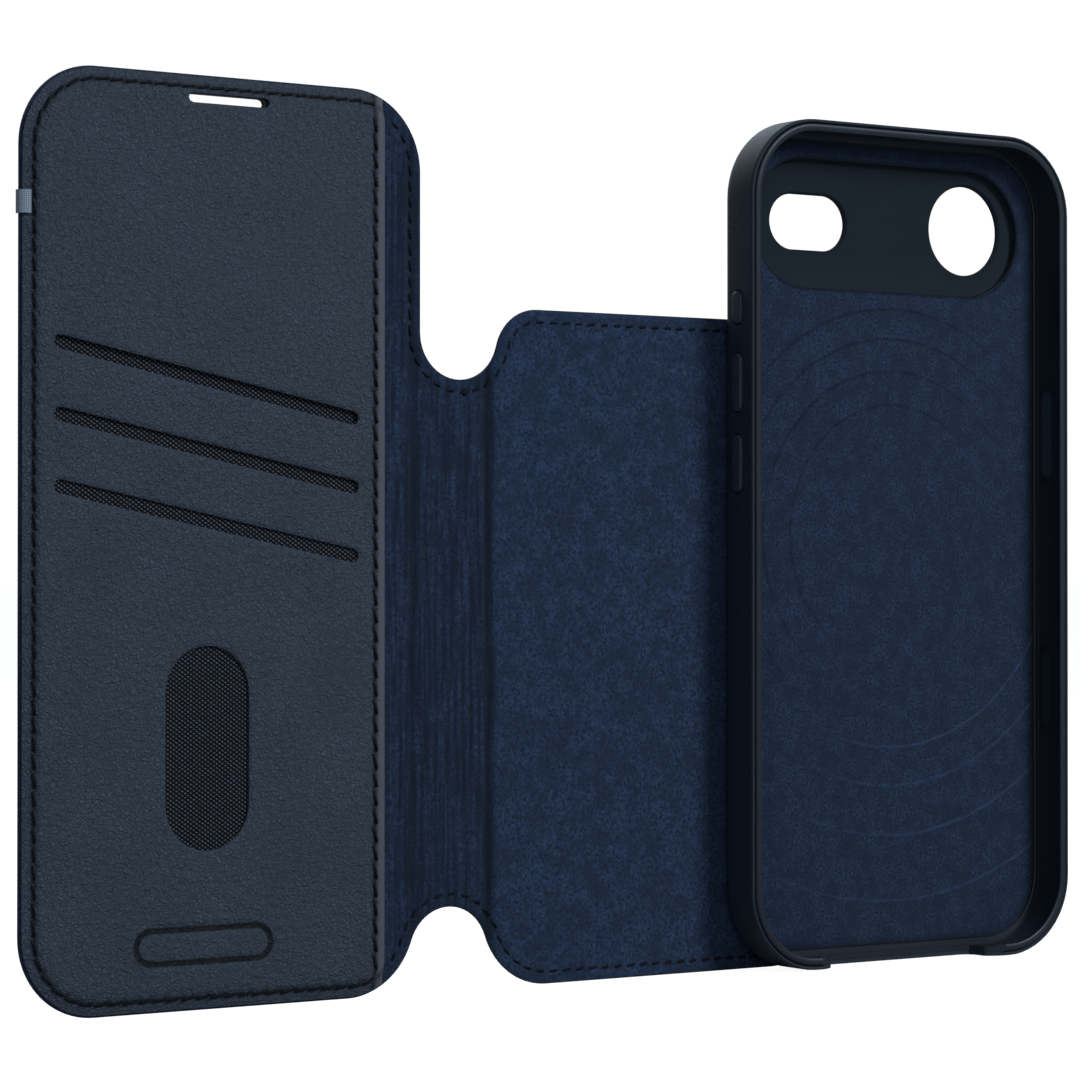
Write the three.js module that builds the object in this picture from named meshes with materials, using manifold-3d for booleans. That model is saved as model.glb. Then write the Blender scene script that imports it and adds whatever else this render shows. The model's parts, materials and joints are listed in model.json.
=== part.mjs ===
// Phone wallet case: a folding leather folio with card pockets, and the phone case that its magnets hold.
// Millimetres, +Z up. The folio stands open flat, with its inner faces towards -Y.
// Layout coordinates: x = 0 is the fold between spine and back panel, y = 0 is the face of the folio's
// lining, and z = 0 is the surface that the wallet stands on. The exported group moves the layout so that
// the origin is the bottom centre of the whole assembly's bounding box.

import * as THREE from 'three';
import { mergeVertices } from 'three/addons/utils/BufferGeometryUtils.js';
import Module from 'manifold-3d';

// Folio outline
const COVER_LEFT = -92.8;
const COVER_RIGHT = -14.4;
const COVER_HEIGHT = 159.6;
const BACK_RIGHT = 78;
const BACK_HEIGHT = 122.3;
const CORNER_R = 14;
const COVER_FOLD_X = -14.5;
const HALF_FOLD_GAP = 1.15;
const NOTCH_R = 8.2;
const LOW_NOTCH = { x: -8.4, z: 6.8 };
const HIGH_NOTCH = { x: COVER_RIGHT + NOTCH_R, z: 117.3 };
const HIGH_SHOULDER_R = 9;

// Folio layers, from the lining's face backwards
const GLUE = 0.05;
const LINING_T = 0.4;
const BOARD_T = 0.8;
const OUTER_T = 0.9;
const BOARD_INSET = 3.2;
const BOARD_FOLD_MARGIN = 1.5;
const LINING_INSET = 0.2;
const STIFFENER = { margin: 1.2, bottom: 19, top: 104 };
const LINING_BACK = LINING_T;
const BOARD_BACK = LINING_BACK + GLUE + BOARD_T;
const OUTER_BACK = BOARD_BACK + GLUE + OUTER_T;

// Card pockets on the cover
const POCKET_RIGHT = -22.7;
const POCKET_INSET = 0.4;
const POCKET_T = 0.65;
const LINER_T = 0.15;
const LINER_ABOVE_SLOT = 5;
const LINER_CLEARANCE = { stitch: 0.3, edgeStitch: 0.8 };
const LINER_NAMES = ['card_liner_upper', 'card_liner_middle', 'card_liner_lower'];
const POCKET_BACK = -LINER_NAMES.length * (LINER_T + GLUE) - GLUE;
const POCKET_FRONT = POCKET_BACK - POCKET_T;
const SLOT = { x: -57.5, topZ: 107.3, pitch: 12.05, length: 60.2, width: 2.4, fall: 11.6 };
const WINDOW = { x: -58, z: 44.6, width: 16.2, height: 34.9 };
const EARPIECE = { x: -53.8, z: 155.5, width: 15.8, height: 1.7 };

// Stitching
const STITCH_INSET = 2.1;
const THREAD_W = 0.5;
const THREAD_T = 0.25;
const POCKET_STITCH_X = -24.7;
const POCKET_STITCH_STOP = 1.4;
const STRIP_THREAD_GAP = 0.3;
const PERIMETER_THREAD_GAP = 0.5;
const MID_HEIGHT = COVER_HEIGHT / 2;

// Edge tab
const TAB = { z: 136, height: 3.9, leaf: 1.6, thickness: 0.3 };

// Case
const CASE_LEFT = 52;
const CASE_GAP = 0.4;
const CASE_W = 78.4;
const CASE_H = 160;
const CASE_D = 9.4;
const CASE_R = 15.2;
const BACK_EDGE_R = 2.2;
const WRAP_T = 0.75;
const SHELL_WALL = 1;
const SHELL_BASE = 1.1;
const CASE_LINING_T = 0.5;
const LIP = 0.5;
const LIP_HEIGHT = 1.2;
const LINING_MARGIN = 1.5;
const RIM = { wrapDrop: 0.15, wrapRound: 0.35, wrapSlope: 0.1, shellRound: 0.25, lipRound: 0.3 };

// Camera opening, relative to the case's centre line
const RECESS = { x: -1, z: 141.1, width: 65.4, height: 24.6, depth: 1.6 };
const INSERT_WALL = 1.2;
const INSERT_PLAY = 0.3;
const INSERT_BACK_WALL = 0.9;
const INSERT_PLATE_T = 1.4;
const INSERT_PROUD = 2;
const LENS = { x: 19.5, z: 141.8, r: 8.7 };
const FLASH = { x: -19.4, z: 141.4, width: 18, height: 10.5 };

// Side buttons and cut-outs
const BUTTON_Y = -4.7;
const BUTTON = { width: 2.8, proud: 0.5, play: 0.3, flange: 0.6, flangeT: 0.35, flangeRoom: 0.8, gap: 0.05 };
const BUTTONS = [
  { name: 'action_button', side: -1, z: 124.1, length: 6.2 },
  { name: 'volume_up_button', side: -1, z: 110.1, length: 11 },
  { name: 'volume_down_button', side: -1, z: 95, length: 10.8 },
  { name: 'side_button', side: 1, z: 102.2, length: 17 },
];
const CONTROL_SLOT = { y: -4.15, z: 51.8, length: 15.9, width: 3.4 };
const PORT = { width: 38, shoulder: 4, cornerCut: 2, floorGap: 0.3, height: 10 };
const PAST_WALL = 2;

// Magnets
const RING = { z: 80.2, outerR: 27.5, innerR: 23.2, count: 12, gapDegrees: 3 };
const MAGNET_T = 0.4;
const MAGNET_PLAY = 0.35;
const GROOVE_DEPTH = MAGNET_T + 0.15;
const BAR_MAGNET = { width: 5.5, height: 18, drop: 44, cornerR: 0.6 };
const CASE_AT_HOME = 2;

// Mesh detail
const WELD = 1e-5;
const SAME_POINT = 1e-4;
const CORNER_STEPS = 4;
const RING_STEPS = 20;
const ARC_STEPS = 3;
const SLOT_STEPS = 3;
const FLASH_STEPS = 4;
const RECESS_STEPS = 6;
const LENS_STEPS = 12;
const BAR_STEPS = 2;
const BACK_EDGE_DEGREES = [0, 30, 60, 90];

const FINISHES = {
  pocketLeather: { color: 0x2f3944, roughness: 0.62, metalness: 0 },
  outerLeather: { color: 0x222b37, roughness: 0.58, metalness: 0 },
  suede: { color: 0x1e2b40, roughness: 0.95, metalness: 0 },
  textile: { color: 0x10151d, roughness: 0.85, metalness: 0 },
  thread: { color: 0x0c1119, roughness: 0.7, metalness: 0 },
  board: { color: 0x6d6557, roughness: 0.9, metalness: 0 },
  ribbon: { color: 0x8d98a3, roughness: 0.8, metalness: 0 },
  shell: { color: 0x151b24, roughness: 0.5, metalness: 0 },
  insert: { color: 0x1f2830, roughness: 0.6, metalness: 0 },
  magnet: { color: 0x9a9ca0, roughness: 0.3, metalness: 1 },
};

const wasm = await Module();
wasm.setup();

// Solids -------------------------------------------------------------------------------------------------

function solidOf(geometry) {
  geometry.deleteAttribute('normal');
  geometry.deleteAttribute('uv');
  const welded = mergeVertices(geometry, WELD);
  const vertProperties = new Float32Array(welded.attributes.position.array);
  const triVerts = new Uint32Array(welded.index.array);
  return new wasm.Manifold(new wasm.Mesh({ numProp: 3, vertProperties, triVerts }));
}

function geometryOf(solid) {
  const mesh = solid.getMesh();
  const geometry = new THREE.BufferGeometry();
  geometry.setAttribute('position', new THREE.BufferAttribute(new Float32Array(mesh.vertProperties), 3));
  geometry.setIndex(new THREE.BufferAttribute(new Uint32Array(mesh.triVerts), 1));
  geometry.computeVertexNormals();
  return geometry;
}

function box(x0, x1, y0, y1, z0, z1) {
  const geometry = new THREE.BoxGeometry(x1 - x0, y1 - y0, z1 - z0);
  geometry.translate((x0 + x1) / 2, (y0 + y1) / 2, (z0 + z1) / 2);
  return solidOf(geometry);
}

// Points of an outline, without the repeats where one curve of it meets the next.
function outlinePoints(outline, steps) {
  const points = outline.getPoints(steps);
  return points.filter((p, i) => p.distanceTo(points[(i + 1) % points.length]) > SAME_POINT);
}

function extruded(outline, depth, steps) {
  const shape = new THREE.Shape(outlinePoints(outline, steps));
  return new THREE.ExtrudeGeometry(shape, { depth, bevelEnabled: false });
}

// A plate whose outline lies in the X-Z plane. Its back face is at `back`, and it is `thickness` deep
// towards -Y.
function plate(outline, back, thickness, steps = CORNER_STEPS) {
  const geometry = extruded(outline, thickness, steps);
  geometry.rotateX(Math.PI / 2);
  geometry.translate(0, back, 0);
  return solidOf(geometry);
}

// A bar along X whose section lies in the Y-Z plane.
function crossBar(outline, x0, x1, steps = CORNER_STEPS) {
  const geometry = extruded(outline, x1 - x0, steps);
  const basis = new THREE.Matrix4();
  basis.makeBasis(new THREE.Vector3(0, 1, 0), new THREE.Vector3(0, 0, 1), new THREE.Vector3(1, 0, 0));
  geometry.applyMatrix4(basis);
  geometry.translate(x0, 0, 0);
  return solidOf(geometry);
}

function cutAll(solid, cutters) {
  return cutters.reduce((rest, cutter) => rest.subtract(cutter), solid);
}

// Outlines -----------------------------------------------------------------------------------------------

function roundedRect(cx, cy, width, height, radius) {
  const r = Math.min(radius, width / 2, height / 2);
  const right = cx + width / 2 - r;
  const left = cx - width / 2 + r;
  const top = cy + height / 2 - r;
  const bottom = cy - height / 2 + r;
  const shape = new THREE.Shape();
  shape.absarc(right, bottom, r, -Math.PI / 2, 0, false);
  shape.absarc(right, top, r, 0, Math.PI / 2, false);
  shape.absarc(left, top, r, Math.PI / 2, Math.PI, false);
  shape.absarc(left, bottom, r, Math.PI, Math.PI * 1.5, false);
  return shape;
}

function stadium(cx, cy, width, height) {
  return roundedRect(cx, cy, width, height, Math.min(width, height) / 2);
}

function circle(cx, cy, radius) {
  const shape = new THREE.Shape();
  shape.absarc(cx, cy, radius, 0, Math.PI * 2, false);
  return shape;
}

// The centre of the round shoulder that a notch runs into: `side` is -1 on its left and 1 on its right.
function shoulderCentre(notch, shoulderR, z, side) {
  const reach = Math.sqrt((NOTCH_R + shoulderR) ** 2 - (z - notch.z) ** 2);
  return { x: notch.x + side * reach, z };
}

function angleBetween(from, to) {
  return Math.atan2(to.z - from.z, to.x - from.x);
}

// The folio's outline, moved inwards by `inset` all round: cover, notched spine and back panel.
function folioOutline(inset) {
  const quarter = Math.PI / 2;
  const r = CORNER_R - inset;
  const lowLeft = shoulderCentre(LOW_NOTCH, CORNER_R, CORNER_R, -1);
  const lowRight = shoulderCentre(LOW_NOTCH, CORNER_R, CORNER_R, 1);
  const high = shoulderCentre(HIGH_NOTCH, HIGH_SHOULDER_R, BACK_HEIGHT - HIGH_SHOULDER_R, 1);
  const shape = new THREE.Shape();
  const leftCentre = COVER_LEFT + CORNER_R;
  const rightCentre = BACK_RIGHT - CORNER_R;
  shape.absarc(leftCentre, CORNER_R, r, Math.PI, quarter * 3, false);
  shape.absarc(lowLeft.x, lowLeft.z, r, -quarter, angleBetween(lowLeft, LOW_NOTCH), false);
  shape.absarc(LOW_NOTCH.x, LOW_NOTCH.z, NOTCH_R + inset,
    angleBetween(LOW_NOTCH, lowLeft), angleBetween(LOW_NOTCH, lowRight), true);
  shape.absarc(lowRight.x, lowRight.z, r, angleBetween(lowRight, LOW_NOTCH), -quarter, false);
  shape.absarc(rightCentre, CORNER_R, r, -quarter, 0, false);
  shape.absarc(rightCentre, BACK_HEIGHT - CORNER_R, r, 0, quarter, false);
  shape.absarc(high.x, high.z, HIGH_SHOULDER_R - inset, quarter, angleBetween(high, HIGH_NOTCH), false);
  shape.absarc(HIGH_NOTCH.x, HIGH_NOTCH.z, NOTCH_R + inset, angleBetween(HIGH_NOTCH, high), -Math.PI, true);
  shape.absarc(COVER_RIGHT - CORNER_R, COVER_HEIGHT - CORNER_R, r, 0, quarter, false);
  shape.absarc(leftCentre, COVER_HEIGHT - CORNER_R, r, quarter, Math.PI, false);
  return shape;
}

// Folio --------------------------------------------------------------------------------------------------

const FAR = 300;
const COVER_SPAN = [-FAR, COVER_FOLD_X - HALF_FOLD_GAP];
const SPINE_SPAN = [COVER_FOLD_X + HALF_FOLD_GAP, -HALF_FOLD_GAP];
const BACK_SPAN = [HALF_FOLD_GAP, FAR];

function sliceX(solid, [x0, x1]) {
  return solid.intersect(box(x0, x1, -FAR, FAR, -FAR, FAR));
}

function sliceZ(solid, z0, z1) {
  return solid.intersect(box(-FAR, FAR, -FAR, FAR, z0, z1));
}

// One layer of the folio between two fold lines.
function layer(inset, back, thickness, span) {
  return sliceX(plate(folioOutline(inset), back, thickness), span);
}

function narrowed([x0, x1], margin) {
  return [x0 + margin, x1 - margin];
}

function throughCut(outline, steps) {
  return plate(outline, FAR, FAR * 2, steps);
}

function earpieceCut() {
  return throughCut(stadium(EARPIECE.x, EARPIECE.z, EARPIECE.width, EARPIECE.height), SLOT_STEPS);
}

// The strip of stitching that follows the folio's edge, lying on a face at `face`.
function edgeThread(face, span) {
  const back = face - GLUE;
  const outside = plate(folioOutline(STITCH_INSET), back, THREAD_T);
  const inside = throughCut(folioOutline(STITCH_INSET + THREAD_W));
  return sliceX(outside.subtract(inside), span);
}

// Card slots fall from the free edge towards the spine.
function slotCut(index) {
  const angle = -Math.atan2(SLOT.fall, SLOT.length - SLOT.width);
  const outline = stadium(0, 0, SLOT.length, SLOT.width);
  const geometry = extruded(outline, FAR, SLOT_STEPS);
  geometry.rotateZ(angle);
  geometry.rotateX(Math.PI / 2);
  geometry.translate(SLOT.x, FAR / 2, SLOT.topZ - index * SLOT.pitch);
  return solidOf(geometry);
}

function pocketPanel() {
  const blank = layer(POCKET_INSET, POCKET_BACK, POCKET_T, [-FAR, POCKET_RIGHT]);
  const window = throughCut(stadium(WINDOW.x, WINDOW.z, WINDOW.width, WINDOW.height));
  const slots = LINER_NAMES.map((name, index) => slotCut(index));
  return cutAll(blank, [window, earpieceCut(), ...slots]);
}

// The textile sheet behind one slot: it starts above the slot's line and runs down to the bottom edge.
function cardLiner(index) {
  const edge = STITCH_INSET + THREAD_W + LINER_CLEARANCE.stitch;
  const slope = SLOT.fall / (SLOT.length - SLOT.width);
  const middle = SLOT.topZ - index * SLOT.pitch + LINER_ABOVE_SLOT;
  const lineAt = (x) => middle - (x - SLOT.x) * slope;
  const below = new THREE.Shape();
  below.moveTo(-FAR, -FAR);
  below.lineTo(FAR, -FAR);
  below.lineTo(FAR, lineAt(FAR));
  below.lineTo(-FAR, lineAt(-FAR));
  const back = -GLUE - index * (LINER_T + GLUE);
  const sheet = layer(edge, back, LINER_T, [-FAR, POCKET_STITCH_X - LINER_CLEARANCE.edgeStitch]);
  return sheet.intersect(throughCut(below));
}

function pocketEdgeThread() {
  const end = STITCH_INSET + THREAD_W + POCKET_STITCH_STOP;
  const left = POCKET_STITCH_X - THREAD_W / 2;
  const face = POCKET_FRONT - GLUE;
  return box(left, left + THREAD_W, face - THREAD_T, face, end, COVER_HEIGHT - end);
}

// A short leaf on the pocket's face, folded round the cover's free edge.
function edgeTab() {
  const outside = COVER_LEFT - GLUE - TAB.thickness;
  const front = POCKET_FRONT - GLUE - TAB.thickness;
  const z0 = TAB.z - TAB.height / 2;
  const z1 = TAB.z + TAB.height / 2;
  const leaf = box(outside, COVER_LEFT + TAB.leaf, front, front + TAB.thickness, z0, z1);
  const edge = box(outside, outside + TAB.thickness, front, BOARD_BACK, z0, z1);
  return leaf.add(edge);
}

// An annular groove, cut from the front into a layer whose front face is at `front`.
function ringGroove(cx, front) {
  const outline = circle(cx, RING.z, RING.outerR + MAGNET_PLAY);
  const core = circle(cx, RING.z, RING.innerR - MAGNET_PLAY);
  return plate(outline, front + GROOVE_DEPTH, FAR, RING_STEPS).subtract(throughCut(core, RING_STEPS));
}

function barGroove(cx, front) {
  const { width, height, drop, cornerR } = BAR_MAGNET;
  const play = MAGNET_PLAY * 2;
  const outline = roundedRect(cx, RING.z - drop, width + play, height + play, cornerR + MAGNET_PLAY);
  return plate(outline, front + GROOVE_DEPTH, FAR, BAR_STEPS);
}

// One arc magnet of a ring, `index` steps round from the top.
function ringMagnet(cx, back, index) {
  const pitch = (Math.PI * 2) / RING.count;
  const gap = THREE.MathUtils.degToRad(RING.gapDegrees);
  const start = Math.PI / 2 + index * pitch + gap / 2;
  const end = start + pitch - gap;
  const shape = new THREE.Shape();
  shape.absarc(cx, RING.z, RING.outerR, start, end, false);
  shape.absarc(cx, RING.z, RING.innerR, end, start, true);
  return plate(shape, back, MAGNET_T, ARC_STEPS);
}

function barMagnet(cx, back) {
  const { width, height, drop, cornerR } = BAR_MAGNET;
  return plate(roundedRect(cx, RING.z - drop, width, height, cornerR), back, MAGNET_T, BAR_STEPS);
}

function magnetMeshes(prefix, cx, back) {
  const meshes = [];
  for (let index = 0; index < RING.count; index += 1) {
    const number = String(index + 1).padStart(2, '0');
    meshes.push(piece(`${prefix}_ring_magnet_${number}`, ringMagnet(cx, back, index), 'magnet'));
  }
  meshes.push(piece(`${prefix}_alignment_magnet`, barMagnet(cx, back), 'magnet'));
  return meshes;
}

// Case, in its own coordinates: x = 0 on its centre line, y = 0 on its back face, front at -CASE_D --------

const HALF_CASE_W = CASE_W / 2;
const LINING_FRONT_Y = -(WRAP_T + SHELL_BASE + CASE_LINING_T + GLUE * 2);
const SHELL_BACK_Y = -(WRAP_T + GLUE);
const SHELL_FLOOR_Y = SHELL_BACK_Y - SHELL_BASE;

// One loop of a case wall: the case's outline moved inwards by `inset`, at depth y.
function wallLoop([y, inset]) {
  const outline = roundedRect(0, CASE_H / 2, CASE_W - 2 * inset, CASE_H - 2 * inset, CASE_R - inset);
  return outlinePoints(outline, CORNER_STEPS).map((p) => new THREE.Vector3(p.x, y, p.y));
}

// A tray skinned over loops, from the middle of its back face, round the rim, to its floor.
function tray(sections) {
  const loops = sections.map(wallLoop);
  const count = loops[0].length;
  const positions = loops.flat().flatMap((p) => [p.x, p.y, p.z]);
  const index = [];
  for (let ring = 0; ring + 1 < loops.length; ring += 1) {
    for (let i = 0; i < count; i += 1) {
      const a = ring * count + i;
      const b = ring * count + ((i + 1) % count);
      index.push(a, b, a + count, b, b + count, a + count);
    }
  }
  const last = (loops.length - 1) * count;
  for (let i = 1; i + 1 < count; i += 1) {
    index.push(0, i + 1, i);
    index.push(last, last + i, last + i + 1);
  }
  const geometry = new THREE.BufferGeometry();
  geometry.setAttribute('position', new THREE.Float32BufferAttribute(positions, 3));
  geometry.setIndex(index);
  return solidOf(geometry);
}

// The rounded back edge: sections from the back face out to the side wall, for a skin of that edge radius.
function backEdge(back, wallInset, radius) {
  return BACK_EDGE_DEGREES.map((degrees) => {
    const angle = THREE.MathUtils.degToRad(degrees);
    return [back - radius * (1 - Math.cos(angle)), wallInset + radius * (1 - Math.sin(angle))];
  });
}

function caseWrapBlank() {
  const rim = -CASE_D + RIM.wrapDrop;
  const inner = backEdge(SHELL_BACK_Y + GLUE, WRAP_T, BACK_EDGE_R - WRAP_T).reverse();
  const edge = [[rim + RIM.wrapRound, 0], [rim, RIM.wrapRound], [rim + RIM.wrapSlope, WRAP_T]];
  return tray([...backEdge(0, 0, BACK_EDGE_R), ...edge, ...inner]);
}

function caseShellBlank() {
  const outerInset = WRAP_T + GLUE;
  const innerInset = outerInset + SHELL_WALL;
  const lipInset = innerInset + LIP;
  const outer = backEdge(SHELL_BACK_Y, outerInset, BACK_EDGE_R - outerInset);
  const front = -CASE_D;
  const round = RIM.shellRound;
  const rim = [[front + round, outerInset], [front, outerInset + round], [front, lipInset - round]];
  const lip = [[front + RIM.lipRound, lipInset], [front + LIP_HEIGHT - LIP, lipInset]];
  return tray([...outer, ...rim, ...lip, [front + LIP_HEIGHT, innerInset], [SHELL_FLOOR_Y, innerInset]]);
}

function cameraCut(grow) {
  const { x, z, width, height } = RECESS;
  return throughCut(stadium(x, z, width + grow * 2, height + grow * 2), RECESS_STEPS);
}

// The phone's port and speakers open through the bottom wall, with sloping shoulders at the rim.
function portCut() {
  const half = PORT.width / 2;
  const deep = LINING_FRONT_Y - PORT.floorGap;
  const front = -CASE_D - PAST_WALL;
  const neck = -CASE_D + PORT.shoulder / 2;
  const wide = half + PORT.shoulder;
  const shape = new THREE.Shape();
  shape.moveTo(-half + PORT.cornerCut, deep);
  shape.lineTo(-half, deep - PORT.cornerCut);
  shape.lineTo(-half, neck);
  shape.lineTo(-wide, front);
  shape.lineTo(wide, front);
  shape.lineTo(half, neck);
  shape.lineTo(half, deep - PORT.cornerCut);
  shape.lineTo(half - PORT.cornerCut, deep);
  const geometry = extruded(shape, PORT.height, 1);
  geometry.translate(0, 0, -PORT.height / 2);
  return solidOf(geometry);
}

// The span along X of something in a side wall, from `from` to `to` mm outside the case's side face.
function sideSpan(side, from, to) {
  const a = side * (HALF_CASE_W + from);
  const b = side * (HALF_CASE_W + to);
  return [Math.min(a, b), Math.max(a, b)];
}

const WALL_INSIDE = -(WRAP_T + GLUE + SHELL_WALL);

function buttonHole({ side, z, length }) {
  const { width, play } = BUTTON;
  const outline = stadium(BUTTON_Y, z, width + play * 2, length + play * 2);
  return crossBar(outline, ...sideSpan(side, WALL_INSIDE - PAST_WALL, PAST_WALL), SLOT_STEPS);
}

function buttonPocket({ side, z, length }) {
  const { width, play, flange, flangeRoom } = BUTTON;
  const grow = (flange + play) * 2;
  const outline = stadium(BUTTON_Y, z, width + grow, length + grow);
  const span = sideSpan(side, WALL_INSIDE - PAST_WALL, WALL_INSIDE + flangeRoom);
  return crossBar(outline, ...span, SLOT_STEPS);
}

// A button is a cap through the wall. A flange on its inner end keeps it in, and leaves room for the press.
function button({ side, z, length }) {
  const { width, proud, flange, flangeT, flangeRoom, gap } = BUTTON;
  const flangeOut = WALL_INSIDE + flangeRoom - gap;
  const flangeIn = flangeOut - flangeT;
  const face = stadium(BUTTON_Y, z, width, length);
  const foot = stadium(BUTTON_Y, z, width + flange * 2, length + flange * 2);
  const cap = crossBar(face, ...sideSpan(side, flangeIn, proud), SLOT_STEPS);
  return cap.add(crossBar(foot, ...sideSpan(side, flangeIn, flangeOut), SLOT_STEPS));
}

// The camera control's opening goes through the shell only: the leather runs on across it.
function controlCut() {
  const { y, z, length, width } = CONTROL_SLOT;
  const span = sideSpan(1, WALL_INSIDE - PAST_WALL, PAST_WALL);
  return crossBar(stadium(y, z, width, length), ...span, SLOT_STEPS);
}

function caseWrap() {
  const openings = [cameraCut(INSERT_WALL + INSERT_PLAY), portCut()];
  return cutAll(caseWrapBlank(), [...openings, ...BUTTONS.map(buttonHole)]);
}

function caseShell() {
  const grooves = [ringGroove(0, SHELL_FLOOR_Y), barGroove(0, SHELL_FLOOR_Y)];
  const holes = [...BUTTONS.map(buttonHole), ...BUTTONS.map(buttonPocket)];
  const openings = [cameraCut(INSERT_WALL + INSERT_PLAY), portCut(), controlCut()];
  return cutAll(caseShellBlank(), [...openings, ...holes, ...grooves]);
}

// The lining stops short of the walls and leaves a margin of bare shell round it.
function caseLining() {
  const inset = WRAP_T + GLUE + SHELL_WALL + LINING_MARGIN;
  const outline = roundedRect(0, CASE_H / 2, CASE_W - 2 * inset, CASE_H - 2 * inset, CASE_R - inset);
  return plate(outline, SHELL_FLOOR_Y - GLUE, CASE_LINING_T).subtract(cameraCut(0));
}

// The camera surround: a frame through the case's back, with a sunken plate that holds the two windows.
function cameraInsert() {
  const { x, z, width, height, depth } = RECESS;
  const plateFront = LINING_FRONT_Y + depth;
  const plateBack = plateFront + INSERT_PLATE_T;
  const frame = stadium(x, z, width + INSERT_WALL * 2, height + INSERT_WALL * 2);
  const hollow = stadium(x, z, width - INSERT_BACK_WALL * 2, height - INSERT_BACK_WALL * 2);
  const body = plate(frame, INSERT_PROUD, INSERT_PROUD - SHELL_FLOOR_Y, RECESS_STEPS);
  const backCut = plate(hollow, FAR, FAR - plateBack, RECESS_STEPS);
  const frontCut = plate(stadium(x, z, width, height), plateFront, FAR, RECESS_STEPS);
  const lens = throughCut(circle(LENS.x, LENS.z, LENS.r), LENS_STEPS);
  const flash = throughCut(stadium(FLASH.x, FLASH.z, FLASH.width, FLASH.height), FLASH_STEPS);
  return cutAll(body, [frontCut, backCut, lens, flash]);
}

// Scene --------------------------------------------------------------------------------------------------

function piece(name, solid, finish) {
  const material = new THREE.MeshStandardMaterial(FINISHES[finish]);
  const mesh = new THREE.Mesh(geometryOf(solid), material);
  mesh.name = name;
  return mesh;
}

function groupOf(meshes) {
  const group = new THREE.Group();
  group.add(...meshes);
  return group;
}

function cover() {
  const outer = layer(0, OUTER_BACK, OUTER_T, COVER_SPAN);
  const board = layer(BOARD_INSET, BOARD_BACK, BOARD_T, [-FAR, COVER_SPAN[1] - BOARD_FOLD_MARGIN]);
  const lining = layer(LINING_INSET, LINING_BACK, LINING_T, COVER_SPAN);
  const perimeter = edgeThread(POCKET_FRONT, [-FAR, POCKET_RIGHT - PERIMETER_THREAD_GAP]);
  const liners = LINER_NAMES.map((name, index) => piece(name, cardLiner(index), 'textile'));
  const strip = edgeThread(0, [POCKET_RIGHT + STRIP_THREAD_GAP, COVER_SPAN[1]]);
  return groupOf([
    piece('cover_outer_leather', outer.subtract(earpieceCut()), 'outerLeather'),
    piece('cover_board', board.subtract(earpieceCut()), 'board'),
    piece('cover_lining', lining.subtract(earpieceCut()), 'suede'),
    ...liners,
    piece('card_pocket_panel', pocketPanel(), 'pocketLeather'),
    piece('pocket_perimeter_thread', perimeter, 'thread'),
    piece('pocket_edge_thread', pocketEdgeThread(), 'thread'),
    piece('cover_upper_thread', sliceZ(strip, MID_HEIGHT, FAR), 'thread'),
    piece('cover_lower_thread', sliceZ(strip, -FAR, MID_HEIGHT), 'thread'),
    piece('edge_tab', edgeTab(), 'ribbon'),
  ]);
}

function spine() {
  const board = layer(BOARD_INSET, BOARD_BACK, BOARD_T, narrowed(SPINE_SPAN, STIFFENER.margin));
  const stiffener = sliceZ(board, STIFFENER.bottom, STIFFENER.top);
  const thread = edgeThread(0, SPINE_SPAN);
  return groupOf([
    piece('spine_outer_leather', layer(0, OUTER_BACK, OUTER_T, SPINE_SPAN), 'outerLeather'),
    piece('spine_stiffener', stiffener, 'board'),
    piece('spine_lining', layer(LINING_INSET, LINING_BACK, LINING_T, SPINE_SPAN), 'suede'),
    piece('spine_upper_thread', sliceZ(thread, MID_HEIGHT, FAR), 'thread'),
    piece('spine_lower_thread', sliceZ(thread, -FAR, MID_HEIGHT), 'thread'),
  ]);
}

function backPanel() {
  const cx = CASE_AT_HOME + CASE_W / 2;
  const front = BOARD_BACK - BOARD_T;
  const grooves = [ringGroove(cx, front), barGroove(cx, front)];
  const board = layer(BOARD_INSET, BOARD_BACK, BOARD_T, [BACK_SPAN[0] + BOARD_FOLD_MARGIN, FAR]);
  return groupOf([
    piece('back_outer_leather', layer(0, OUTER_BACK, OUTER_T, BACK_SPAN), 'outerLeather'),
    piece('back_board', cutAll(board, grooves), 'board'),
    piece('back_lining', layer(LINING_INSET, LINING_BACK, LINING_T, BACK_SPAN), 'suede'),
    piece('back_perimeter_thread', edgeThread(0, BACK_SPAN), 'thread'),
    ...magnetMeshes('back', cx, front + MAGNET_T + GLUE),
  ]);
}

function phoneCase() {
  const group = groupOf([
    piece('case_outer_leather', caseWrap(), 'outerLeather'),
    piece('case_shell', caseShell(), 'shell'),
    piece('case_lining', caseLining(), 'suede'),
    piece('camera_insert', cameraInsert(), 'insert'),
    ...BUTTONS.map((spec) => piece(spec.name, button(spec), 'shell')),
    ...magnetMeshes('case', 0, SHELL_FLOOR_Y + MAGNET_T + GLUE),
  ]);
  group.position.set(CASE_LEFT + CASE_W / 2, -CASE_GAP, 0);
  return group;
}

const LEFTMOST = COVER_LEFT - GLUE - TAB.thickness;
const RIGHTMOST = CASE_LEFT + CASE_W + BUTTON.proud;
const FRONT = -CASE_GAP - CASE_D;

const wallet = new THREE.Group();
wallet.add(cover(), spine(), backPanel(), phoneCase());
wallet.position.set(-(LEFTMOST + RIGHTMOST) / 2, -(FRONT + OUTER_BACK) / 2, 0);

export default wallet;
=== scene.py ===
# Phone wallet case: a folding leather folio with card pockets, and the case that its magnets hold.
# Lengths are millimetres from the inner fold line (x), the lining's face (y) and the table (z), as in the
# design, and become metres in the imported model's frame when a mesh is made.
import json
import math
import random

import bmesh
import bpy
import numpy as np
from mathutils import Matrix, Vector
from mathutils.geometry import delaunay_2d_cdt


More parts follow.
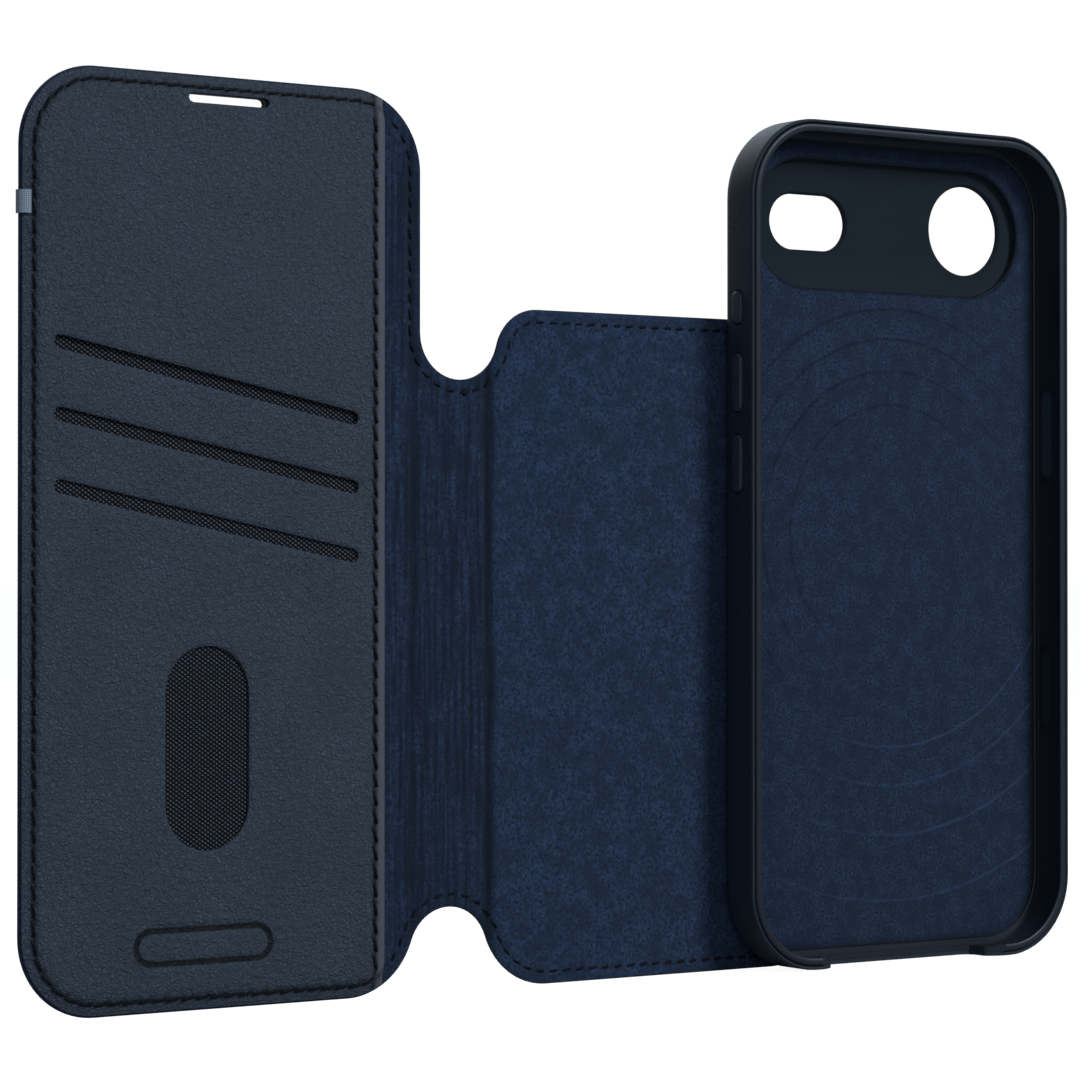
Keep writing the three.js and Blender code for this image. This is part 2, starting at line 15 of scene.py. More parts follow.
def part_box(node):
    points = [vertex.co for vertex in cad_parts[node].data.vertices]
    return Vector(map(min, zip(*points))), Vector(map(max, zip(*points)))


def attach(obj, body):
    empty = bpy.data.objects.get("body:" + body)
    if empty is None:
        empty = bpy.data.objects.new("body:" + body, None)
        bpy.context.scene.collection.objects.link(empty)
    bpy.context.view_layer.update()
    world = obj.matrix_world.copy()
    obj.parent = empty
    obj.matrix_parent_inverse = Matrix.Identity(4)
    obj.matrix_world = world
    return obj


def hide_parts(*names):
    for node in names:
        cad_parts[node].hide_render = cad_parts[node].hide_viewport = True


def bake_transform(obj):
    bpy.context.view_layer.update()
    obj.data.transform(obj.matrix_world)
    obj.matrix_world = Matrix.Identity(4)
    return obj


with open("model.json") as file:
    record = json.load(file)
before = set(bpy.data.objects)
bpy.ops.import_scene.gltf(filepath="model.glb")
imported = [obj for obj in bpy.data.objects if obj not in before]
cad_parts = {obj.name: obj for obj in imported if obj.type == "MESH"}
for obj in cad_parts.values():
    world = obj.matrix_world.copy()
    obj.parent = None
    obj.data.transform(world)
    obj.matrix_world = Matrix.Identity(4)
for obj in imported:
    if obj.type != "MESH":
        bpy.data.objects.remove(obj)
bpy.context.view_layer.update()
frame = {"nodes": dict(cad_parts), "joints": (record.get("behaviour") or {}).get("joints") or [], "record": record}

# Frame ---

MM = 0.001
JOINTS = {joint["name"]: joint for joint in frame["joints"]}
ORIGIN = Vector((JOINTS["spine_fold"]["pos_m"][0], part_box("back_lining")[0].y, 0))


def span(node, axis):
    """Lowest and highest coordinate of a CAD node along an axis, in mm from the origin."""
    low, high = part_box(node)
    return (low[axis] - ORIGIN[axis]) / MM, (high[axis] - ORIGIN[axis]) / MM


COVER_LEFT = span("cover_outer_leather", 0)[0]
COVER_HEIGHT = span("cover_outer_leather", 2)[1]
BACK_RIGHT = span("back_outer_leather", 0)[1]
BACK_HEIGHT = span("back_outer_leather", 2)[1]
OUTER_FRONT, OUTER_BACK = span("back_outer_leather", 1)
LINING_BACK = span("back_lining", 1)[1]
COVER_FOLD_X = (JOINTS["cover_fold"]["pos_m"][0] - ORIGIN.x) / MM
POCKET_RIGHT = span("card_pocket_panel", 0)[1]
POCKET_FRONT, POCKET_BACK = span("card_pocket_panel", 1)
CASE_LEFT, CASE_RIGHT = span("case_outer_leather", 0)
CASE_X = (CASE_LEFT + CASE_RIGHT) / 2
CASE_BACK = span("case_outer_leather", 1)[1]
CASE_RIM = span("case_outer_leather", 1)[0]
SHELL_RIM = span("case_shell", 1)[0]
CASE_FLOOR, LINING_CASE_BACK = span("case_lining", 1)
CASE_W = CASE_RIGHT - CASE_LEFT
CASE_H = span("case_outer_leather", 2)[1]
BUTTON_NODES = ("action_button", "volume_up_button", "volume_down_button", "side_button")

# Shape ---

CORNER_R = 14
COVER_RIGHT = COVER_FOLD_X + 0.1
SEAM_X = COVER_FOLD_X / 2
NOTCH_R = 8.2
LOW_NOTCH = (-8.4, 6.8)
HIGH_NOTCH = (COVER_RIGHT + NOTCH_R, 117.3)
HIGH_SHOULDER_R = 9
BOARD_INSET = 3.2
BOARDS = (
    (COVER_LEFT, COVER_FOLD_X - 2.65, 0, COVER_HEIGHT),
    (COVER_FOLD_X + 2.35, -2.35, 19, 104),
    (2.65, BACK_RIGHT, 0, BACK_HEIGHT),
)
SLOT = {"x": -57.5, "z": 107.3, "pitch": 12.05, "length": 60.2, "width": 2.4, "fall": 11.6}
SLOT_TILT = -math.atan2(SLOT["fall"], SLOT["length"] - SLOT["width"])
WINDOW = (-58, 44.6, 16.2, 34.9)
EARPIECE = (-53.8, 155.5, 15.8, 1.7)
MARK = (-58.7, 11.2, 26, 5.6)
STITCH_INSET = 2.3
POCKET_STITCH_X = -24.7
PANEL_RING_CENTRE = (39.2, 78.7)
CASE_RING_CENTRE = (CASE_X, 82)
CASE_R = 15.2
RECESS = (CASE_X - 1, 141.1, 65.4, 24.6)
LENS = (CASE_X + 19.5, 141.8, 8.7)
FLASH = (CASE_X - 19.4, 141.4, 18, 10.5)
CONTROL_SLOT = (CASE_BACK - 4.15, 51.8, 3.4, 15.9)
BUTTON_FLANGE = 0.6
WALL = {"wrap": 0.75, "gap": 0.05, "shell": 1.0, "lip": 0.5}
EVERYWHERE = (-1000, 1000)


def smoothstep(low, high, value):
    t = np.clip((value - low) / (high - low), 0, 1)
    return t * t * (3 - 2 * t)


def bump_at(value, centre, width):
    """A bell of height 1 about a centre."""
    return np.exp(-(((value - centre) / width) ** 2))


# Outlines ---

STEP = 1.0


def arc(cx, cz, radius, start, end):
    count = max(2, int(abs(end - start) * radius / STEP) + 1)
    angles = np.linspace(start, end, count + 1)
    return np.column_stack([cx + radius * np.cos(angles), cz + radius * np.sin(angles)])


def closed(parts, step=STEP):
    """One loop through the parts, with its long sides divided and its repeated points left out."""
    corners = np.vstack(parts)
    points = []
    for a, b in zip(corners, np.roll(corners, -1, axis=0)):
        length = np.linalg.norm(b - a)
        if length < 1e-4:
            continue
        count = max(1, round(length / step))
        points.extend(a + (b - a) * i / count for i in range(count))
    return np.array(points)


def rounded(cx, cz, width, height, radius, step=STEP):
    r = max(0.05, min(radius, width / 2 - 1e-3, height / 2 - 1e-3))
    right, left = cx + width / 2 - r, cx - width / 2 + r
    top, bottom = cz + height / 2 - r, cz - height / 2 + r
    q = math.pi / 2
    corners = [(right, bottom, -q), (right, top, 0), (left, top, q), (left, bottom, 2 * q)]
    return closed([arc(x, z, r, start, start + q) for x, z, start in corners], step)


def stadium(cx, cz, width, height, grow=0, step=STEP):
    return rounded(cx, cz, width + 2 * grow, height + 2 * grow, 1000, step)


def turned(loop, cx, cz, angle):
    c, s = math.cos(angle), math.sin(angle)
    x, z = loop[:, 0] - cx, loop[:, 1] - cz
    return np.column_stack([cx + x * c - z * s, cz + x * s + z * c])


def shoulder(notch, radius, z, side):
    reach = math.sqrt((NOTCH_R + radius) ** 2 - (z - notch[1]) ** 2)
    return (notch[0] + side * reach, z)


def heading(a, b):
    return math.atan2(b[1] - a[1], b[0] - a[0])


def folio(inset):
    """The folio's outline, moved inwards by inset: cover, notched spine and back panel."""
    q = math.pi / 2
    r = CORNER_R - inset
    low_left = shoulder(LOW_NOTCH, CORNER_R, CORNER_R, -1)
    low_right = shoulder(LOW_NOTCH, CORNER_R, CORNER_R, 1)
    high = shoulder(HIGH_NOTCH, HIGH_SHOULDER_R, BACK_HEIGHT - HIGH_SHOULDER_R, 1)
    left, right = COVER_LEFT + CORNER_R, BACK_RIGHT - CORNER_R
    notch_r = NOTCH_R + inset
    return closed([
        arc(left, CORNER_R, r, 2 * q, 3 * q),
        arc(*low_left, r, -q, heading(low_left, LOW_NOTCH)),
        arc(*LOW_NOTCH, notch_r, heading(LOW_NOTCH, low_left), heading(LOW_NOTCH, low_right)),
        arc(*low_right, r, heading(low_right, LOW_NOTCH), -q),
        arc(right, CORNER_R, r, -q, 0),
        arc(right, BACK_HEIGHT - CORNER_R, r, 0, q),
        arc(*high, HIGH_SHOULDER_R - inset, q, heading(high, HIGH_NOTCH) % (4 * q)),
        arc(*HIGH_NOTCH, notch_r, heading(HIGH_NOTCH, high), -2 * q),
        arc(COVER_RIGHT - CORNER_R, COVER_HEIGHT - CORNER_R, r, 0, q),
        arc(left, COVER_HEIGHT - CORNER_R, r, q, 2 * q),
    ])


def clipped(loop, limits):
    """The part of a loop whose x is within the limits."""
    for bound, sign in ((limits[0], 1), (limits[1], -1)):
        kept = []
        for a, b in zip(loop, np.roll(loop, -1, axis=0)):
            da, db = sign * (a[0] - bound), sign * (b[0] - bound)
            if da >= 0:
                kept.append(a)
            if da * db < 0:
                kept.append(a + (b - a) * da / (da - db))
        loop = np.array(kept)
    return closed([loop])


def distance(loop, points):
    """Distance from each point to the nearest side of a closed loop."""
    a, b = loop, np.roll(loop, -1, axis=0)
    side = b - a
    length = np.maximum((side ** 2).sum(1), 1e-12)
    best = np.full(len(points), 1e9)
    for first in range(0, len(points), 2000):
        p = points[first:first + 2000, None, :]
        t = np.clip(((p - a) * side).sum(2) / length, 0, 1)
        gap = p - (a + t[..., None] * side)
        best[first:first + 2000] = np.sqrt((gap ** 2).sum(2)).min(1)
    return best


def inside(loop, points):
    """Whether each point is within a closed loop."""
    a, b = loop, np.roll(loop, -1, axis=0)
    px, pz = points[:, :1], points[:, 1:]
    crosses = (a[:, 1] > pz) != (b[:, 1] > pz)
    rise = np.where(b[:, 1] == a[:, 1], 1e-12, b[:, 1] - a[:, 1])
    at = a[:, 0] + (pz - a[:, 1]) / rise * (b[:, 0] - a[:, 0])
    return (crosses & (px < at)).sum(1) % 2 == 1


# Meshes ---

def to_frame(points):
    return np.asarray(points, float) * MM + np.array(ORIGIN)


def make(name, points, faces, material, sharp=40, values=None):
    """A smooth object from points in mm, with its faces turned outwards."""
    mesh = bpy.data.meshes.new(name)
    mesh.from_pydata(to_frame(points).tolist(), [], [tuple(map(int, face)) for face in faces])
    mesh.validate()
    for key, numbers in (values or {}).items():
        attribute = mesh.attributes.new(key, "FLOAT", "POINT")
        attribute.data.foreach_set("value", np.asarray(numbers, np.float32))
    obj = bpy.data.objects.new(name, mesh)
    bpy.context.scene.collection.objects.link(obj)
    turn_outwards(mesh)
    mesh.polygons.foreach_set("use_smooth", [True] * len(mesh.polygons))
    mesh.set_sharp_from_angle(angle=math.radians(sharp))
    mesh.materials.append(material)
    return obj


def turn_outwards(mesh):
    bm = bmesh.new()
    bm.from_mesh(mesh)
    bmesh.ops.recalc_face_normals(bm, faces=bm.faces)
    bm.to_mesh(mesh)
    bm.free()


def grid(limits, columns, rows):
    xs = [x for x in columns if limits[0] + 0.2 < x < limits[1] - 0.2]
    points = []
    for i, x in enumerate(xs):
        shift = 0.5 * (rows[1] - rows[0]) * (i % 2)
        points.extend((x, z + shift) for z in rows)
    return np.array(points)


def triangles(loops, hole_sets, chains, filling):
    """A triangulation of the region inside loops[0] and outside each hole, along every loop and chain."""
    points, edges = [], []
    for loop in [*loops, *(ring for rings in hole_sets for ring in rings), *chains]:
        first, count = len(points), len(loop)
        points.extend(loop)
        edges.extend((first + i, first + (i + 1) % count) for i in range(count))
    keep = inside(loops[-1], filling) & (distance(loops[-1], filling) > 0.5)
    for rings in hole_sets:
        keep &= ~inside(rings[-1], filling) & (distance(rings[-1], filling) > 0.4)
    for chain in chains:
        keep &= distance(chain, filling) > 0.3
    points.extend(filling[keep])
    flat = [Vector((float(x), float(z))) for x, z in points]
    found, _, faces, *_ = delaunay_2d_cdt(flat, edges, [], 0, 1e-4)
    spots = np.array([(v.x, v.y) for v in found])
    faces = np.array([face for face in faces if len(face) == 3])
    corners = spots[faces]
    ab, ac = corners[:, 1] - corners[:, 0], corners[:, 2] - corners[:, 0]
    area = ab[:, 0] * ac[:, 1] - ab[:, 1] * ac[:, 0]
    faces[area < 0] = faces[area < 0][:, ::-1]
    middle = corners.mean(1)
    keep = (np.abs(area) > 1e-6) & inside(loops[0], middle)
    for rings in hole_sets:
        keep &= ~inside(rings[0], middle)
    faces = faces[keep]
    used, faces = np.unique(faces, return_inverse=True)
    return spots[used], faces.reshape(-1, 3)


def slab(name, outline, rings, faces_of, material, limits=EVERYWHERE, holes=(), hole_rings=(0, 0.25, 0.7),
         chains=(), columns=None, rows=None, sharp=40):
    """A closed sheet of leather or cloth. faces_of(points, edge, hole) gives its front and back y and the
    values that its material reads, from each point's distance to the outline and to the nearest hole."""
    loops = [clipped(outline(ring), limits) for ring in rings]
    hole_sets = [[hole(grow) for grow in hole_rings] for hole in holes]
    low, high = loops[0].min(0), loops[0].max(0)
    columns = np.arange(low[0], high[0], 1.3) if columns is None else columns
    rows = np.arange(low[1], high[1], 1.4) if rows is None else rows
    points, tris = triangles(loops, hole_sets, chains, grid((low[0], high[0]), columns, rows))
    edge = distance(outline(0), points)
    hole = np.full(len(points), 1e3)
    for rings_of_hole in hole_sets:
        hole = np.minimum(hole, distance(rings_of_hole[0], points))
    front, back, values = faces_of(points, edge, hole)
    count = len(points)
    near = np.column_stack([points[:, 0], front, points[:, 1]])
    far = np.column_stack([points[:, 0], back, points[:, 1]])
    sides = {(a, b) for t in tris for a, b in ((t[0], t[1]), (t[1], t[2]), (t[2], t[0]))}
    rim = [(b, a, a + count, b + count) for a, b in sides if (b, a) not in sides]
    faces = [*tris, *(tris[:, ::-1] + count), *rim]
    doubled = {key: np.concatenate([numbers, numbers]) for key, numbers in values.items()}
    return make(name, np.vstack([near, far]), faces, material, sharp, doubled)


def skinned(name, sections, material, sharp=35):
    """A solid over loops of equally many points, each loop a list of (x, y, z)."""
    count = len(sections[0])
    points = np.vstack(sections)
    faces = []
    for ring in range(len(sections) - 1):
        for i in range(count):
            a, b = ring * count + i, ring * count + (i + 1) % count
            faces.append((a, b, b + count, a + count))
    last = (len(sections) - 1) * count
    faces.append(tuple(range(count - 1, -1, -1)))
    faces.append(tuple(range(last, last + count)))
    return make(name, points, faces, material, sharp)


def cut(obj, cutters, sharp=35):
    """Takes the cutters away from obj, and removes them."""
    for cutter in cutters:
        modifier = obj.modifiers.new("cut", "BOOLEAN")
        modifier.operation = "DIFFERENCE"
        modifier.solver = "EXACT"
        modifier.object = cutter
    evaluated = obj.evaluated_get(bpy.context.evaluated_depsgraph_get())
    mesh = bpy.data.meshes.new_from_object(evaluated)
    material = obj.data.materials[0]
    obj.modifiers.clear()
    obj.data = mesh
    mesh.materials.clear()
    mesh.materials.append(material)
    mesh.polygons.foreach_set("use_smooth", [True] * len(mesh.polygons))
    mesh.set_sharp_from_angle(angle=math.radians(sharp))
    for cutter in cutters:
        bpy.data.objects.remove(cutter)


def sections_y(outline, profile):
    """Loops of an outline(inset) at depths y: profile is a list of (y, inset)."""
    made = []
    for y, inset in profile:
        loop = outline(inset)
        made.append(np.column_stack([loop[:, 0], np.full(len(loop), y), loop[:, 1]]))
    return made


def even(cx, cz, width, height, radius, inset, corner=14, side=(12, 24)):
    """A rounded rectangle moved inwards, always with the same number of points."""
    r = max(radius - inset, 0.3)
    w, h = width / 2 - inset, height / 2 - inset
    q = math.pi / 2
    spots = []
    for k, (sx, sz) in enumerate(((1, -1), (1, 1), (-1, 1), (-1, -1))):
        angles = np.linspace((k - 1) * q, k * q, corner + 1)
        cxk, czk = cx + sx * (w - r), cz + sz * (h - r)
        spots.append(np.column_stack([cxk + r * np.cos(angles), czk + r * np.sin(angles)]))
        after = ((1, 1), (-1, 1), (-1, -1), (1, -1))[k]
        goal = np.array([cx + after[0] * (w - r), cz + after[1] * (h - r)])
        goal = goal + r * np.array([math.cos(k * q), math.sin(k * q)])
        parts = side[1] if k % 2 == 0 else side[0]
        start = spots[-1][-1]
        between = [start + (goal - start) * i / parts for i in range(1, parts)]
        spots.append(np.array(between).reshape(-1, 2))
    return np.vstack(spots)


# Materials ---

class Finish:
    """A procedural material, built node by node."""

    def __init__(self, name, roughness, **sockets):
        self.material = bpy.data.materials.new(name)
        self.material.use_nodes = True
        self.tree = self.material.node_tree
        self.shader = self.tree.nodes["Principled BSDF"]
        self.shader.inputs["Roughness"].default_value = roughness
        for key, value in sockets.items():
            self.shader.inputs[key.replace("_", " ")].default_value = value
        self.place = self.node("ShaderNodeTexCoord").outputs["Object"]
        self.height = None

    def node(self, kind, **settings):
        node = self.tree.nodes.new(kind)
        for key, value in settings.items():
            setattr(node, key, value)
        return node

    def link(self, source, target):
        self.tree.links.new(source, target)

    def noise(self, size, detail=2.0, stretch=(1, 1, 1)):
        """Noise between 0 and 1 with features of about `size` mm."""
        mapping = self.node("ShaderNodeMapping")
        mapping.inputs["Scale"].default_value = stretch
        self.link(self.place, mapping.inputs["Vector"])
        node = self.node("ShaderNodeTexNoise")
        node.inputs["Scale"].default_value = 1 / (size * MM)
        node.inputs["Detail"].default_value = detail
        self.link(mapping.outputs["Vector"], node.inputs["Vector"])
        return node.outputs["Fac"]

    def pebbles(self, size, wobble=0.35):
        """Rounded grains of about `size` mm, 0 in their creases and 1 on their tops."""
        noise = self.node("ShaderNodeTexNoise")
        noise.inputs["Scale"].default_value = 0.8 / (size * MM)
        self.link(self.place, noise.inputs["Vector"])
        shift = self.node("ShaderNodeVectorMath", operation="SCALE")
        shift.inputs["Scale"].default_value = wobble * size * 2 * MM
        self.link(noise.outputs["Color"], shift.inputs[0])
        added = self.node("ShaderNodeVectorMath", operation="ADD")
        self.link(self.place, added.inputs[0])
        self.link(shift.outputs[0], added.inputs[1])
        cells = self.node("ShaderNodeTexVoronoi", feature="DISTANCE_TO_EDGE")
        cells.inputs["Scale"].default_value = 1 / (size * MM)
        self.link(added.outputs[0], cells.inputs["Vector"])
        return self.ranged(cells.outputs["Distance"], 0, 0.35, 0, 1)

    def wave(self, pitch, angle):
        """Straight ridges across X-Z, `pitch` mm apart, at an angle in degrees. At a scale of 1 the texture's
        ridges are pi / 10 apart."""
        mapping = self.node("ShaderNodeMapping")
        mapping.inputs["Rotation"].default_value = (0, math.radians(angle), 0)
        self.link(self.place, mapping.inputs["Vector"])
        node = self.node("ShaderNodeTexWave", wave_profile="SIN", bands_direction="X")
        node.inputs["Scale"].default_value = math.pi / 10 / (pitch * MM)
        self.link(mapping.outputs["Vector"], node.inputs["Vector"])
        return node.outputs["Fac"]

    def ranged(self, value, low, high, to_low, to_high):
        node = self.node("ShaderNodeMapRange")
        for key, number in zip(("From Min", "From Max", "To Min", "To Max"), (low, high, to_low, to_high)):
            node.inputs[key].default_value = number
        self.link(value, node.inputs["Value"])
        return node.outputs["Result"]

    def math(self, operation, a, b):
        node = self.node("ShaderNodeMath", operation=operation)
        for socket, value in zip(node.inputs, (a, b)):
            if isinstance(value, (int, float)):
                socket.default_value = value
            else:
                self.link(value, socket)
        return node.outputs[0]

    def value(self, key):
        return self.node("ShaderNodeAttribute", attribute_name=key).outputs["Fac"]

    def vector(self, operation, a, b):
        node = self.node("ShaderNodeVectorMath", operation=operation)
        self.link(a, node.inputs[0])
        node.inputs[1].default_value = b
        return node.outputs["Value" if operation in ("LENGTH", "DOT_PRODUCT") else "Vector"]

    def mix(self, factor, a, b):
        node = self.node("ShaderNodeMix", data_type="RGBA")
        self.link(factor, node.inputs["Factor"])
        for socket, value in zip((node.inputs[6], node.inputs[7]), (a, b)):
            if isinstance(value, tuple):
                socket.default_value = (*value, 1)
            else:
                self.link(value, socket)
        return node.outputs[2]

    def color(self, result):
        self.link(result, self.shader.inputs["Base Color"])

    def bump(self, height, strength, depth):
        """Adds relief `depth` mm deep."""
        node = self.node("ShaderNodeBump")
        node.inputs["Strength"].default_value = strength
        node.inputs["Distance"].default_value = depth * MM
        self.link(height, node.inputs["Height"])
        if self.height is not None:
            self.link(self.height, node.inputs["Normal"])
        self.height = node.outputs["Normal"]
        self.link(self.height, self.shader.inputs["Normal"])


def shade(color, factor):
    return tuple(c * factor for c in color)


BASE = {row["slot"]: tuple(row["base_color"][:3]) for row in frame["record"]["materials"]}


def pocket_leather():
    finish = Finish("pocket_leather", 0.5, Specular_IOR_Level=0.2)
    red, green, blue = BASE["pocket_leather"]
    base = (red * 1.06, green * 0.94, blue * 0.91)
    clouds = finish.mix(finish.ranged(finish.noise(14), 0.3, 0.7, 0, 1), shade(base, 1.4), shade(base, 2.1))
    coarse, small = finish.pebbles(0.75, 1.0), finish.pebbles(0.42, 1.0)
    grain = finish.math("MULTIPLY", coarse, finish.ranged(small, 0, 1, 0.6, 1))
    toned = finish.mix(grain, shade(base, 1.0), clouds)
    # Painted highlight: the smooth strip between the edge stitching and the pocket's edge is lightened and greyed,
    # as a rounded edge catching the light; its grain is flattened too.
    pressed = (base[0] * 2.3, base[1] * 1.85, base[2] * 1.6)
    edged = finish.mix(finish.value("pressed"), toned, pressed)
    # Painted shade: near black along the seams and in the needle holes; in the pressed mark's band it is partly
    # the mark's own pressed tone and partly painted shade.
    finish.color(finish.mix(finish.value("sunk"), edged, shade(base, 0.06)))
    finish.link(finish.ranged(grain, 0, 1, 0.62, 0.5), finish.shader.inputs["Roughness"])
    flat = finish.ranged(finish.value("pressed"), 0, 1, 1, 0.15)
    finish.bump(finish.math("MULTIPLY", grain, flat), 1.0, 0.24)
    finish.bump(finish.math("MULTIPLY", finish.noise(1.3, 5), flat), 1.0, 0.4)
    return finish.material


def plain_leather():
    finish = Finish("outer_leather", 0.45, Specular_IOR_Level=0.3)
    base = BASE["outer_leather"]
    clouds = finish.mix(finish.noise(10), shade(base, 0.85), shade(base, 1.2))
    grain = finish.pebbles(0.4)
    finish.color(finish.mix(grain, shade(base, 0.7), clouds))
    finish.link(finish.ranged(grain, 0, 1, 0.58, 0.44), finish.shader.inputs["Roughness"])
    finish.bump(grain, 0.35, 0.03)
    finish.bump(finish.noise(3, 3), 0.3, 0.08)
    return finish.material


def suede(name="suede", factor=1.0, marked=False):
    """Short nap. The case's lining is also marked with arcs."""
    finish = Finish(name, 0.95, Specular_IOR_Level=0.1, Sheen_Weight=0.12, Sheen_Roughness=0.5)
    base = shade(BASE["suede"], factor)
    fibres = finish.noise(0.5, 4)
    patches = finish.noise(2.6, 4)
    fine = finish.mix(finish.ranged(fibres, 0.32, 0.68, 0, 1), shade(base, 0.42), shade(base, 1.95))
    mottled = finish.mix(finish.ranged(patches, 0.38, 0.62, 0, 0.7), fine, shade(base, 0.7))
    specks = finish.ranged(finish.noise(0.9, 1), 0.72, 0.8, 0, 0.6)
    specked = finish.mix(specks, mottled, shade(base, 2.6))
    # Painted shade: thin dark vertical streaks for the fine wrinkles across the spine.
    lines = finish.noise(0.8, 4, (1, 1, 0.05))
    streaks = finish.math("MULTIPLY", finish.ranged(lines, 0.38, 0.62, 0.8, 0.1), finish.value("streaks"))
    wrinkle_shaded = finish.mix(streaks, specked, shade(base, 0.3))
    # Painted shade: darker in the lining's creases, needle holes and ring groove, and round the case's recess and
    # along its walls.
    creased = finish.mix(finish.value("crease"), wrinkle_shaded, shade(base, 0.16))
    finish.color(ring_marks(finish, creased, base) if marked else creased)
    finish.bump(fibres, 0.6, 0.08)
    finish.bump(patches, 0.25, 0.15)
    return finish.material


def ring_marks(finish, color, base):
    """Thin arcs in the nap about the ring's centre, dark to the upper left and pale to the lower right."""
    cx, cz = CASE_RING_CENTRE
    centre = tuple(to_frame((cx, 0, cz)))
    place = finish.vector("MULTIPLY", finish.vector("SUBTRACT", finish.place, centre), (1, 0, 1))
    radius = finish.vector("LENGTH", place, (0, 0, 0))
    share = finish.math("DIVIDE", finish.vector("DOT_PRODUCT", place, (0.75, 0, -0.66)), radius)
    wander = finish.ranged(finish.noise(5), 0, 1, -0.25 * MM, 0.25 * MM)
    uneven = finish.math("ADD", radius, wander)

    def arcs(radii, width):
        marks = 0.0
        for r in radii:
            gap = finish.math("ABSOLUTE", finish.math("SUBTRACT", uneven, r * MM), 0.0)
            marks = finish.math("MAXIMUM", finish.ranged(gap, 0, width * MM, 1, 0), marks)
        return finish.math("MULTIPLY", marks, finish.ranged(finish.noise(2, 3), 0.3, 0.6, 0.3, 1))

    dark = finish.math("MULTIPLY", arcs((25, 31.5, 37.7, 43.5), 0.5), finish.ranged(share, -0.4, 0.3, 0.7, 0))
    pale = finish.math("MULTIPLY", arcs((41, 48.4, 58, 70.6), 0.42), finish.ranged(share, 0.1, 0.8, 0, 0.75))
    return finish.mix(pale, finish.mix(dark, color, shade(base, 0.25)), shade(base, 2.4))


def textile():
    finish = Finish("pocket_textile", 0.7, Specular_IOR_Level=0.1)
    base = BASE["pocket_textile"]
    across = finish.ranged(finish.wave(0.62, -56), 0, 1, 0.25, 1)
    weave = finish.math("MULTIPLY", finish.wave(0.62, 56), across)
    strands = finish.math("MULTIPLY", weave, finish.ranged(finish.noise(0.3), 0.3, 0.7, 0.7, 1.1))
    lit = finish.ranged(strands, 0.25, 0.9, 0, 1)
    strand = (base[0] * 17, base[1] * 13, base[2] * 10.5)
    finish.color(finish.mix(lit, shade(base, 0.1), strand))
    finish.bump(weave, 0.9, 0.12)
    return finish.material


def thread():
    finish = Finish("thread", 0.6, Specular_IOR_Level=0.12)
    base = BASE["thread"]
    twist = finish.wave(0.28, 35)
    finish.color(finish.mix(twist, shade(base, 0.2), shade(base, 0.8)))
    finish.bump(twist, 0.6, 0.05)
    return finish.material


def ribbon():
    finish = Finish("edge_ribbon", 0.7, Specular_IOR_Level=0.2)
    base = BASE["edge_ribbon"]
    rib = finish.math("MULTIPLY", finish.wave(0.35, 0), finish.wave(0.35, 90))
    finish.color(finish.mix(rib, shade(base, 0.6), shade(base, 1.15)))
    finish.bump(rib, 0.7, 0.06)
    return finish.material


def moulded(slot, roughness, factor, gloss=0.35):
    finish = Finish(slot, roughness, Specular_IOR_Level=gloss)
    base = shade(BASE[slot], factor)
    finish.color(finish.mix(finish.noise(6), shade(base, 0.92), shade(base, 1.1)))
    finish.link(finish.ranged(finish.noise(0.5), 0, 1, roughness - 0.06, roughness + 0.08),
                finish.shader.inputs["Roughness"])
    finish.bump(finish.noise(0.25), 0.2, 0.02)
    return finish.material


def board():
    finish = Finish("board", 0.9)
    base = BASE["board"]
    finish.color(finish.mix(finish.noise(0.6, 4), shade(base, 0.8), shade(base, 1.15)))
    finish.bump(finish.noise(0.3), 0.3, 0.04)
    return finish.material


def magnet():
    finish = Finish("magnet", 0.3, Metallic=1.0)
    base = BASE["magnet"]
    finish.color(finish.mix(finish.noise(2), shade(base, 0.9), shade(base, 1.1)))
    finish.bump(finish.noise(0.4, stretch=(1, 1, 8)), 0.15, 0.01)
    return finish.material


MATERIALS = {
    "pocket_leather": pocket_leather(),
    "outer_leather": plain_leather(),
    "suede": suede(),
    # The case's lining: the suede darkened to 0.8 as painted shade from the case's walls, and marked with arcs.
    "case_suede_shaded": suede("case_suede_shaded", 0.8, marked=True),
    "pocket_textile": textile(),
    "thread": thread(),
    "edge_ribbon": ribbon(),
    "case_shell": moulded("case_shell", 0.45, 1.0),
    "button": moulded("button", 0.45, 1.7),
    "camera_insert": moulded("camera_insert", 0.62, 0.6, 0.08),
    "board": board(),
    "magnet": magnet(),
}


def give(obj, slot, body, *nodes):
    """Rides obj on its body, and hides the CAD nodes that it stands for."""
    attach(obj, body)
    if nodes:
        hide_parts(*nodes)


def give_across(obj, slot, bodies, fold_x, *nodes):
    """For a piece that lies across a fold line: bakes its transform into the mesh and hides the CAD nodes that it
    stands for; it rides on no body.
    """
    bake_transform(obj)
    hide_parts(*nodes)


LEFT = {"limits": (-1000, SEAM_X), "bodies": ("cover", "spine"), "fold": COVER_FOLD_X, "name": "cover"}
RIGHT = {"limits": (SEAM_X, 1000), "bodies": ("spine", "back_panel"), "fold": 0, "name": "back"}
HALVES = (LEFT, RIGHT)

# Stitches ---

LEATHER_PITCH = {"level": 2.75, "upright": 3.06}
SUEDE_PITCH = {"level": 2.85, "upright": 2.85}
POCKET_EDGE_PITCH = {"level": 3.23, "upright": 3.23}


